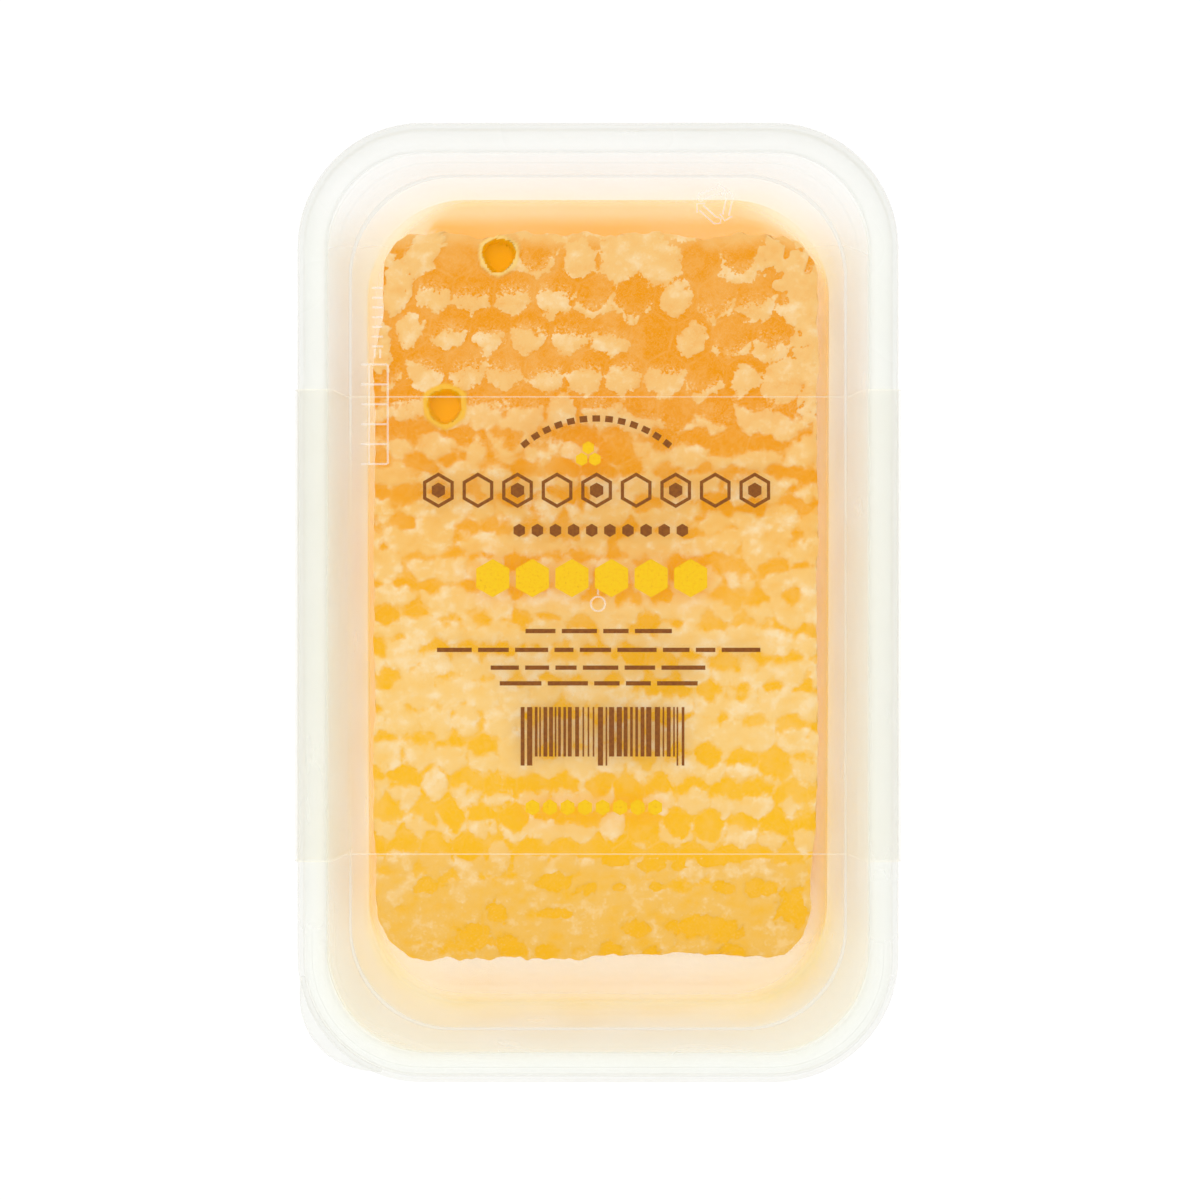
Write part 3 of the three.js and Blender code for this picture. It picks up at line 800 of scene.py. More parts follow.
@dataclass
class Lid:
    """The lid: a skirt and rim round a sunk panel, with a thumb tab and marks under the panel."""

    skirt_drop: float = 6.0
    shoulder: float = 1.1
    rim_inner: float = 4.7
    panel_inset: float = 7.3
    panel_drop: float = 3.4
    panel_sheet: float = 0.6
    panel_corner: float = 14.6
    tab_reach: float = 2.2
    tab_centre: float = 220.0
    tab_half: float = 30.0
    tab_thick: float = 1.0
    mark_width: float = 0.3
    mark_proud: float = 0.25
    mark_root: float = 0.05
    mark_haze: float = 0.27

    @property
    def panel_z(self) -> float:
        """Level of the panel's upper face."""
        return RIM.height - self.panel_drop

    @property
    def panel_under(self) -> float:
        """Level of the panel's underside."""
        return self.panel_z - self.panel_sheet

    def plug_corner(self, inset: Array) -> Array:
        """Corner radius between the rim, whose corner shrinks with the inset, and the panel."""
        inset = np.asarray(inset, float)
        own = RIM.corner - inset
        share = np.clip((inset - self.rim_inner) / (self.panel_inset - self.rim_inner), 0, 1)
        at_rim = RIM.corner - self.rim_inner
        return np.where(inset < self.rim_inner, own, lerp(at_rim, self.panel_corner, share))

    def top_profile(self) -> Array:
        """The upper face as inset, height, haze and painted shade, from the skirt's foot to the panel.
        """
        # The shade column is painted shade: a soft grey on the skirt and down the shoulder's curve, a
        # painted dark line at 4.1 to 4.3 where the tub wall's top edge darkens the rim, and a faint line
        # on the plug.
        skirt = [(0.0, z, 0.26, 0.10) for z in np.linspace(RIM.height - self.skirt_drop, 34.9, 4)]
        turn = np.linspace(0, math.pi / 2, 7)[1:]
        arc = [(self.shoulder * (1 - math.cos(t)), 34.9 + self.shoulder * math.sin(t),
                0.36, 0.34 - 0.1 * math.sin(t)) for t in turn]
        rim = [(1.5, 36.0, 0.34, 0.12), (2.2, 36.0, 0.34, 0.0), (3.2, 36.0, 0.34, 0.0),
               (3.8, 36.0, 0.34, 0.05), (4.1, 35.98, 0.36, 0.5), (4.3, 35.93, 0.34, 0.5)]
        plug = [(4.5, 35.84, 0.16, 0.1), (4.75, 35.7, 0.13, 0.0), (4.95, 35.5, 0.13, 0.0),
                (5.5, 34.9, 0.12, 0.0), (5.7, 34.7, 0.2, 0.1), (5.9, 34.5, 0.12, 0.0),
                (6.6, 33.7, 0.12, 0.0), (7.0, 33.2, 0.13, 0.0)]
        # The seat's haze of 0.6 is a painted highlight: a bright line at the foot of the plug.
        seat = [(7.22, 32.86, 0.2, 0.0), (7.34, 32.72, 0.6, 0.0), (7.55, 32.63, 0.6, 0.0),
                (7.72, 32.6, 0.05, 0.0), (8.1, 32.6, 0.002, 0.0)]
        return np.array(skirt + arc + rim + plug + seat)

    def under_profile(self) -> Array:
        """The underside as inset, height, haze and painted shade, from the panel to the skirt's foot."""
        return np.array([
            (8.1, 32.0, 0.002, 0.0), (7.4, 32.0, 0.01, 0.0), (6.95, 32.03, 0.08, 0.0),
            (6.7, 32.15, 0.12, 0.0), (6.4, 32.5, 0.12, 0.0), (5.0, 34.6, 0.12, 0.0),
            (4.6, 35.1, 0.14, 0.0), (4.3, 35.27, 0.24, 0.0), (4.0, 35.3, 0.28, 0.0),
            (2.6, 35.3, 0.28, 0.0), (1.3, 35.3, 0.28, 0.0), (0.95, 35.2, 0.28, 0.0),
            (0.8, 34.9, 0.26, 0.1), (0.8, 30.2, 0.26, 0.1), (0.7, 30.0, 0.26, 0.1),
            (0.1, 30.0, 0.26, 0.1)])

    def shell(self) -> Shape:
        """The lid without its tab and marks, as loops from the panel's underside round to its top."""
        profile = np.vstack([self.under_profile(), self.top_profile()])
        inset, z, haze, shade = profile.T
        loops = RIM.loops(inset, z, self.plug_corner(inset))
        # Painted shade greys the rim by its outer edge at the +Y end, and the rim is painted lighter at
        # the other end, with less haze and shade.
        y = loops[..., 1]
        outer = (smooth_step(-0.3, 0.3, inset) * (1 - smooth_step(1.9, 3.0, inset)))[:, None]
        grey = 0.22 * outer * np.interp(y, [-50, 50, 62], [0, 0.54, 1]) * (z > 35)[:, None]
        white = np.interp(y, [-62, -50, 50], [0.75, 0.88, 1])
        # Beside the block the panel's seat, whose bright line is a painted highlight, is clearer, and a
        # painted honey glow tints it, most on the -X side.
        seat = ((inset > 7.2) & (z > 32.3))[:, None]
        beside = seat * np.interp(y, [-42, -30, 14, 28], [0, 1, 1, 0])
        on_left = loops[..., 0] < 0
        return loft(loops, {
            "haze": haze[:, None] * white * (1 - beside * lerp(0.35, 0.85, on_left)),
            "shade": shade[:, None] * white + grey,
            "tint": 0.02 + beside * lerp(0.1, 0.3, on_left)})

    def tab(self) -> Shape:
        """The thumb tab: a crescent whose reach is a cosine across its span, with a soft lip."""
        share = np.linspace(-1, 1, 33)
        turn = np.radians(self.tab_centre + self.tab_half * share)
        reach = self.tab_reach * np.cos(share * math.pi / 2)
        low = RIM.height - self.skirt_drop
        round_turn = np.linspace(-math.pi / 2, math.pi / 2, 9)
        bulge, lift = np.cos(round_turn), (np.sin(round_turn) + 1) / 2
        soft = np.minimum(reach, 0.5)[:, None]
        outer = RIM.corner + reach[:, None] - soft * (1 - bulge)
        root = np.full((len(share), 1), RIM.corner - 0.5)
        radius = np.hstack([root, outer, root])
        height = np.concatenate([[0], lift, [1]]) * self.tab_thick + low
        centre = (-(RIM.half_x - RIM.corner), -(RIM.half_y - RIM.corner))
        x = centre[0] + radius * np.cos(turn)[:, None]
        y = centre[1] + radius * np.sin(turn)[:, None]
        loops = np.stack([x, y, np.broadcast_to(height, x.shape)], -1)[:, ::-1]
        size = len(share)
        # The tab takes a faint even painted shade.
        return loft(loops, {"haze": np.full(size, 0.3), "shade": np.full(size, 0.05)})

    def ladder(self) -> list[Shape]:
        """Two rails and six rungs near the -X side."""
        x, top, length, rungs, pitch = -32.15, 34.2, 3.7, 6, 2.86
        y = top - np.arange(rungs) * pitch
        bars = [np.array([(x - length / 2, v), (x + length / 2, v)]) for v in y]
        bars += [np.array([(rail, y[-1]), (rail, y[0])]) for rail in (-32.9, -30.2)]
        return [self.mark(bar) for bar in bars]

    def dashes(self) -> list[Shape]:
        """A column of short dashes and a double bar above the ladder."""
        rows = 45.2 - 1.4 * np.arange(7)
        paths = [np.array([(-32.5, y), (-30.9, y)]) for y in rows]
        paths += [np.array([(x, 35.1), (x, 36.4)]) for x in (-32.1, -31.3)]
        return [self.mark(path) for path in paths]

    def triangle(self) -> list[Shape]:
        """Three bent arrows that chase each other round a triangle."""
        centre = np.array([16.9, 57.2])
        arrow = np.array([(-1.9, 1.0), (-2.3, 1.55), (-1.7, 2.2), (1.2, 2.2), (1.2, 2.65),
                          (2.05, 1.75), (1.2, 0.9), (1.2, 1.3), (-1.2, 1.3)])
        arrows = []
        for side in range(3):
            turn = math.radians(18 + 120 * side)
            spin = np.array([[math.cos(turn), -math.sin(turn)], [math.sin(turn), math.cos(turn)]])
            arrows.append(self.mark(centre + arrow @ spin.T, closed=True, width=0.24))
        return arrows

    def gate(self) -> list[Shape]:
        """The moulding gate's ring with a short bar above it."""
        turn = np.linspace(0, 2 * math.pi, 28, endpoint=False)
        ring = np.column_stack([np.cos(turn), np.sin(turn)]) * 1.03 + (0, -0.2)
        bar = np.array([(0, 1.1), (0, 3.5)])
        return [self.mark(ring, closed=True), self.mark(bar)]

    def mark(self, path: Array, closed: bool = False, width: float | None = None) -> Shape:
        """A raised line under the panel.

        Args:
            path: Points by two.
            closed: Whether the path's end joins its start.
            width: Across the line. The marks' usual width if left out.

        Returns:
            The ridge, which begins a little inside the panel.
        """
        top, crest = self.panel_under + self.mark_root, self.panel_under - self.mark_proud
        return ridge(path, width or self.mark_width, top, crest, closed)

    def marks(self) -> Shape:
        """All raised lines."""
        shape = joined(self.ladder() + self.dashes() + self.triangle() + self.gate())
        shape.values["haze"] = np.full(len(shape.points), self.mark_haze)
        return shape

    def build(self) -> list[bpy.types.Object]:
        """Makes the lid. Returns: Its pieces."""
        finish = PlasticFinish("lid_plastic", roughness=0.2)
        shell = make_piece("lid_shell", self.shell(), finish, "lid_plastic", "lid")
        tab = make_piece("lid_tab", self.tab(), PlasticFinish("tab_plastic"), "lid_plastic")
        marks = make_piece("lid_marks", self.marks(), PlasticFinish(
            "mark_plastic", body=(0.97, 0.95, 0.9)), "lid_plastic")
        return [shell, tab, marks]


# ---- The label ------------------------------------------------------------------------------


@dataclass
class Label:
    """Clear film wrapped over the lid and down both sides, with its print on the panel."""

    tub: Tub
    lid: Lid
    thick: float = 0.22
    lift: float = 0.12
    top_y: float = 29.6
    bottom_y: float = -36.2
    flare: float = 0.026
    foot_z: float = 9.0
    touch_z: float = 25.2

    def path(self) -> Array:
        """Where the film would touch: from the foot on the +X side over the lid to the other foot."""
        side_x = lambda z: float(self.tub.section(z, self.tub.wall)[0])
        z = np.linspace(self.foot_z, self.touch_z, 7)
        side = np.column_stack([[side_x(v) for v in z], z])
        gap = np.array([(40.6, 27.6), (43.0, 29.9)])
        top = self.lid.top_profile()
        over = np.column_stack([RIM.half_x - top[:, 0], top[:, 1]])[1:]
        half = np.vstack([side, gap, over])
        return np.vstack([half, half[::-1] * (-1, 1)])

    def offset(self, path: Array, distance: float) -> Array:
        """The path moved sideways, along the mean of the normals before and after each point."""
        step = np.diff(path, axis=0)
        step /= np.linalg.norm(step, axis=1, keepdims=True)
        before, after = np.vstack([step[:1], step]), np.vstack([step, step[-1:]])
        normal = np.column_stack([(before + after)[:, 1], -(before + after)[:, 0]])
        normal /= np.linalg.norm(normal, axis=1, keepdims=True)
        square = np.column_stack([after[:, 1], -after[:, 0]])
        reach = distance / np.maximum(0.6, (normal * square).sum(1))
        return path + normal * reach[:, None]

    def film(self) -> Shape:
        """The film: its section, out along one face and back along the other, carried along Y.

        A length is 1 + flare times a smooth step across the rim, about the film's middle.
        """
        path = self.path()
        outer, inner = self.offset(path, self.lift + self.thick), self.offset(path, self.lift)
        section = np.vstack([outer, inner[::-1]])
        middle, half = (self.top_y + self.bottom_y) / 2, (self.top_y - self.bottom_y) / 2
        edges = np.array([0.0, 0.16, 0.2, 1.2])
        y = np.concatenate([-half + edges, np.linspace(-half + 6, half - 6, 6), half - edges[::-1]])
        reach = np.abs(section[:, 0])
        stretch = 1 + self.flare * smooth_step(35.7, 38.3, reach)
        loops = np.empty((len(y), len(section), 3))
        loops[..., 0], loops[..., 2] = section[:, 0], section[:, 1]
        loops[..., 1] = middle + y[:, None] * stretch
        edge = np.broadcast_to((half - np.abs(y) < 0.17)[:, None], loops.shape[:2]).astype(float)
        wrap = np.broadcast_to(smooth_step(35.0, 39.5, reach), loops.shape[:2])
        haze = np.maximum(lerp(0.004, 0.075, wrap), edge * 0.17) * (1 + 0.3 * (section[:, 0] < 0))
        return self.strip_ends(loops[::-1], {
            "edge": edge[::-1], "tint": wrap[::-1], "haze": haze[::-1]}, len(path))

    @staticmethod
    def strip_ends(loops: Array, values: dict[str, Array], half: int) -> Shape:
        """A loft whose ends are closed by quads between the section's two faces.

        Args:
            loops: Loops by points by three.
            values: Values for each point, by name.
            half: Points on the section's first face. The second has as many, in reverse.

        Returns:
            The closed shape.
        """
        count, size = loops.shape[:2]
        i = np.arange(half - 1)
        cap = np.stack([i, i + 1, size - 2 - i, size - 1 - i], -1)
        faces = [grid_faces(count, size, wrap_columns=True), cap[:, ::-1], cap + (count - 1) * size]
        return Shape(loops.reshape(-1, 3), faces, {k: v.reshape(-1) for k, v in values.items()})

    def build(self) -> bpy.types.Object:
        """Makes the film. Returns: The piece."""
        return make_piece("label_film", self.film(), FilmFinish(), "label_film", "label", crease=60)


class Ink(Enum):
    """The label's two inks."""

    BROWN = "brown"
    YELLOW = "yellow"


@dataclass
class LabelPrint:
    """A plain printed design on the panel: rows of cells and dots, broken rules and bars."""

    label: Label
    clear: float = 0.01
    thick: float = 0.03
    # The way from a hexagon's middle to each of its corners, as a cosine and a sine.
    hexagon: ClassVar[Array] = np.column_stack([
        np.cos(np.radians(30 + 60 * np.arange(6))), np.sin(np.radians(30 + 60 * np.arange(6)))])

    @property
    def levels(self) -> tuple[float, float]:
        """The ink's lower and upper level, just clear of the film on the panel."""
        low = self.label.lid.panel_z + self.label.lift + self.label.thick + self.clear
        return low, low + self.thick

    def flat(self, outline: Array) -> Shape:
        """A printed field. Args: outline: Points by two, anticlockwise. Returns: The shape."""
        return prism(np.asarray(outline, float), *self.levels)

    def block(self, x: float, y: float, width: float, height: float) -> Shape:
        """A rectangle from its middle and size."""
        w, h = width / 2, height / 2
        return self.flat(np.array([(x - w, y - h), (x + w, y - h), (x + w, y + h), (x - w, y + h)]))

    def cell(self, x: float, y: float, radius: float) -> Shape:
        """A filled hexagon with a corner at the top."""
        return self.flat(self.hexagon * radius + (x, y))

    def open_cell(self, x: float, y: float, radius: float, line: float) -> Shape:
        """A hexagon drawn as a closed line, as a ring with a square section."""
        low, high = self.levels
        rings = [(radius, low), (radius, high), (radius - line, high), (radius - line, low)]
        loops = np.stack([np.column_stack([self.hexagon * r + (x, y), np.full(6, z)]) for r, z in rings])
        return loft(loops, ring=True)

    def dashes(self, y: float, left: float, right: float, height: float, seed: int) -> list[Shape]:
        """A row of dashes of uneven lengths between two ends."""
        lengths = np.random.default_rng(seed).uniform(0.6, 1.4, max(2, round((right - left) / 5.2)))
        gap = 0.9
        lengths *= (right - left - gap * (len(lengths) - 1)) / lengths.sum()
        starts = left + np.concatenate([[0], np.cumsum(lengths + gap)[:-1]])
        return [self.block(a + n / 2, y, n, height) for a, n in zip(starts, lengths)]

    def arc(self, x: float, y: float, radius: float, spread: float, count: int) -> list[Shape]:
        """Short dashes on an arc about a middle, from -spread to spread degrees off the top."""
        corners = [(-0.55, -0.45), (0.55, -0.45), (0.55, 0.45), (-0.55, 0.45)]
        shapes = []
        for angle in np.radians(90 + np.linspace(-spread, spread, count)):
            tangent = np.array([-math.sin(angle), math.cos(angle)])
            outward = np.array([math.cos(angle), math.sin(angle)])
            middle = np.array([x, y]) + outward * radius
            shapes.append(self.flat(np.array([middle - tangent * a + outward * b for a, b in corners])))
        return shapes

    def bars(self, left: float, right: float, low: float, high: float, seed: int) -> list[Shape]:
        """Upright bars of uneven widths, the first, middle and last pairs a little longer."""
        count, longer, draw = 29, 1.3, np.random.default_rng(seed)
        widths = draw.choice([0.26, 0.42, 0.6, 0.8], count)
        gaps = draw.choice([0.26, 0.38, 0.52], count - 1)
        scale = (right - left) / (widths.sum() + gaps.sum())
        starts = left + np.concatenate([[0], np.cumsum((widths[:-1] + gaps) * scale)])
        deep = np.isin(np.arange(count), [0, 1, 14, 15, 27, 28])
        return [self.block(a + w * scale / 2, (high + foot) / 2, w * scale, high - foot)
                for a, w, foot in zip(starts, widths, np.where(deep, low - longer, low))]

    def brown(self) -> Shape:
        """Arc of dashes, a row of cells, a row of dots, four rules and the bars."""
        shapes = self.arc(-0.25, 10.2, 16.2, 39, 13)
        for place, x in enumerate(np.linspace(-22.9, 22.5, 9)):
            shapes.append(self.open_cell(x, 16.1, 2.55, 0.55))
            if place % 2 == 0:
                shapes.append(self.cell(x, 16.1, 1.1))
        shapes += [self.cell(x, 10.35, 0.95) for x in np.linspace(-11.3, 12.1, 10)]
        rules = [(-4.1, -10.4, 10.6), (-6.8, -23.1, 23.3), (-9.35, -15.4, 15.4), (-11.6, -14.1, 14.3)]
        for row, (y, left, right) in enumerate(rules):
            shapes += self.dashes(y, left, right, 0.62, 20 + row)
        shapes += self.bars(-11.1, 12.4, -22.1, -15.0, 31)
        return joined(shapes)

    def yellow(self) -> Shape:
        """A small cluster of cells, a row of large cells and a row of small ones."""
        cluster = ((-1.4, 22.2), (-0.45, 20.55), (-2.35, 20.55))
        shapes = [self.cell(x, y, 0.95) for x, y in cluster]
        shapes += [self.cell(x, 3.5, 2.75) for x in np.linspace(-15.1, 13.3, 6)]
        shapes += [self.cell(x, -29.4, 1.15) for x in np.linspace(-9.4, 8.2, 8)]
        return joined(shapes)

    def build(self) -> list[bpy.types.Object]:
        """Makes the print. Returns: One piece for each ink."""
        inks = {
            Ink.BROWN: (self.brown(), InkFinish("print_brown", tone("82450a"), tone("9c5c10"), 0.92)),
            Ink.YELLOW: (self.yellow(), InkFinish("print_yellow", tone("fdd000"), tone("fcc400"), 0.86)),
        }
        return [make_piece(f"label_print_{ink.value}", shape, finish, "label_film")
                for ink, (shape, finish) in inks.items()]


# ---- The honeycomb --------------------------------------------------------------------------


@dataclass(frozen=True)
class CellLattice:
    """Where the cells stand: rows across the tub that bunch and narrow along it."""

    first_y: float = 49.5
    row_upper: float = 5.55
    row_middle: float = 4.45
    row_lower: float = 4.9
    pitch_upper: float = 5.8
    pitch_lower: float = 4.65
    narrowing: tuple[float, float] = (3, 10)
    closing: tuple[float, float] = (3.5, 7)
    opening: tuple[float, float] = (13, 17)
    middle_x: float = 0.2
    drift: float = 0.68
    drift_rows: float = 4
    tilt: float = 0.035
    table: ClassVar[tuple[int, int]] = (64, 128)

    @classmethod
    def entry(cls, row: Array, column: Array) -> tuple[Array, Array]:
        """Where a cell stands in a table with a row for each row and two columns for each column."""
        rows, columns = cls.table
        return (np.round(row).astype(int) + 8) % rows, np.round(column * 2 + 40).astype(int) % columns

    def flat_y(self, row: Array) -> Array:
        """Distance along the tub of a row, before its tilt."""
        return (self.first_y - self.row_upper * (row - 1)
                + (self.row_upper - self.row_middle) * smooth_step_area(*self.closing, row)
                - (self.row_lower - self.row_middle) * smooth_step_area(*self.opening, row))

    def pitch(self, row: Array) -> Array:
        """Distance between cells in a row."""
        return lerp(self.pitch_upper, self.pitch_lower, smooth_step(*self.narrowing, row))

    def row_middle_x(self, row: Array) -> Array:
        """Where column 0 of a row stands."""
        return self.middle_x - self.drift * np.clip(row - 1, -1, self.drift_rows)

    def place(self, row: float, column: float) -> tuple[float, float]:
        """A cell's middle from its row and column."""
        row = np.float64(row)
        x = self.row_middle_x(row) + column * self.pitch(row)
        return float(x), float(self.flat_y(row) - self.tilt * x)

    def locate(self, x: Array, y: Array) -> tuple[Array, Array]:
        """Row and column, with fractions, of places on the block."""
        rows = np.linspace(-3, 26, 600)
        row = np.interp(-(y + self.tilt * x), -self.flat_y(rows), rows)
        return row, (x - self.row_middle_x(row)) / self.pitch(row)

    def near_cells(self, x: Array, y: Array) -> "NearCells":
        """For each place, the cells round it."""
        row, column = self.locate(x, y)
        rows, columns, across, up = [], [], [], []
        for row_step in (-1, 0, 1):
            cell_row = np.round(row) + row_step
            odd = (cell_row % 2) * 0.5
            near = np.round(column - odd) + odd
            for column_step in (-1, 0, 1):
                cell_column = near + column_step
                rows.append(cell_row)
                columns.append(cell_column)
                across.append(column - cell_column)
                up.append((cell_row - row) * 0.866)
        return NearCells(*(np.stack(v) for v in (rows, columns, across, up)))


@dataclass(frozen=True)
class NearCells:
    """Cells round each place, nine each, with the place's offset in widths of a cell."""

    row: Array
    column: Array
    across: Array
    up: Array

    def edge(self) -> Array:
        """1 at a cell's middle and 0 on its hexagonal border."""
        wide, high = np.abs(self.across), np.abs(self.up)
        return 1 - np.maximum(2 * wide, wide + 1.732 * high)

    def disc(self) -> Array:
        """1 at a cell's middle and 0 on the circle inside its border."""
        return 1 - np.hypot(self.across, self.up) / 0.53

    def draw(self, table: Array) -> Array:
        """Each cell's own entry in a table."""
        return table[CellLattice.entry(self.row, self.column)]


class CapKind(Enum):
    """How the wax lies on a cell."""

    FULL = 0
    RUN = 1
    BIB = 2
    THIN = 3
    BARE = 4


@dataclass(frozen=True)
class CapForm:
    """A kind's wax, in widths of a cell.

    It fills the cell up to a level that rises to both sides, spreads over the cell's border,
    and is more or less round.
    """

    level: float
    rise: float
    spread: float
    roundness: float


CAP_FORMS = {
    CapKind.FULL: CapForm(0.9, 0.0, -0.18, 0.8),
    CapKind.RUN: CapForm(0.9, 0.0, 0.16, 0.2),
    CapKind.BIB: CapForm(0.0, 0.0, 0.0, 0.12),
    CapKind.THIN: CapForm(-0.34, 0.42, 0.03, 0.15),
    CapKind.BARE: CapForm(-0.8, 0.0, 0.0, 0.3),
}


@dataclass(frozen=True)
class CapZone:
    """How the caps look at one place along the block. Each value shades over to the next zone's.

    Wax fills a cell from its -Y side up to level, in cells' widths from its middle, and vary is
    how much that differs between cells. cover fills thin and bare cells too, and spread carries
    wax over the cells' borders. soft is how gently its edge begins and clouds how much it
    wanders. veil is how much torn wax hangs over it. shine is how much painted highlight
    whitens it, stain lets honey darken it, and ribs is how wide wax stands on the cells' borders.
    """

    y: float
    level: float
    vary: float
    cover: float
    spread: float
    soft: float
    clouds: float
    veil: float
    shine: float
    stain: float
    ribs: float


# y, level, vary, cover, spread, soft, clouds, veil, shine, stain, ribs
CAP_ZONES = (
    CapZone(-51.0, 0.30, 0.5, 0.6, 0.22, 0.24, 0.22, 0.2, 0.15, 0.9, 0.16),
    CapZone(-44.0, 0.50, 0.5, 0.8, 0.26, 0.24, 0.22, 0.2, 0.15, 0.9, 0.02),
    CapZone(-38.5, 0.25, 0.6, 0.4, 0.14, 0.16, 0.28, 0.2, 0.7, 0.6, 0.0),
    CapZone(-36.0, -0.02, 0.14, 0.3, -0.08, 0.10, 0.14, 0.0, 0.8, 0.3, 0.0),
    CapZone(-27.0, 0.00, 0.2, 0.6, -0.05, 0.14, 0.20, 0.0, 0.8, 0.3, 0.0),
    CapZone(-20.0, 0.12, 0.4, 0.8, 0.06, 0.18, 0.34, 0.0, 0.9, 0.4, 0.0),
    CapZone(11.0, 0.12, 0.45, 0.8, 0.06, 0.20, 0.46, 0.0, 0.9, 0.4, 0.0),
    CapZone(19.0, 0.00, 0.3, 0.4, 0.02, 0.20, 0.56, 0.1, 0.7, 0.4, 0.0),
    CapZone(26.0, -0.02, 0.25, 0.1, -0.02, 0.15, 0.46, 0.4, 0.5, 0.3, 0.0),
    CapZone(30.5, 0.01, 0.2, 0.0, -0.11, 0.04, 0.10, 1.0, 0.6, 0.4, 0.0),
    CapZone(53.0, 0.01, 0.2, 0.0, -0.11, 0.04, 0.10, 1.0, 0.6, 0.4, 0.0),
)


@dataclass(frozen=True)
class Smear:
    """A patch where wax has run over the caps, or with a strength below 0 where honey shows.

    It is an ellipse, turned by some degrees, whose edge wanders.
    """

    x: float
    y: float
    half_x: float
    half_y: float
    turn: float = 0.0
    strength: float = 1.0

    def field(self, x: Array, y: Array) -> Array:
        """1 less the square of the share of the way out to the ellipse, times the strength."""
        cos, sin = math.cos(math.radians(self.turn)), math.sin(math.radians(self.turn))
        dx, dy = x - self.x, y - self.y
        along, across = (dx * cos + dy * sin) / self.half_x, (dy * cos - dx * sin) / self.half_y
        wander = 0.8 * cloudy(81, 1.9, x, y) + 0.8 * cloudy(83, 0.7, x, y)
        return (1 - along ** 2 - across ** 2 + wander) * abs(self.strength)


class Facing(Enum):
    """Which way a layer's capped face looks."""

    UP = 1
    DOWN = -1


@dataclass(frozen=True)
class OpenCell:
    """A cell with no cap: a round mouth with a raised lip."""

    row: float
    column: float
    radius: float
    lip: float
    depth: float = 3.2


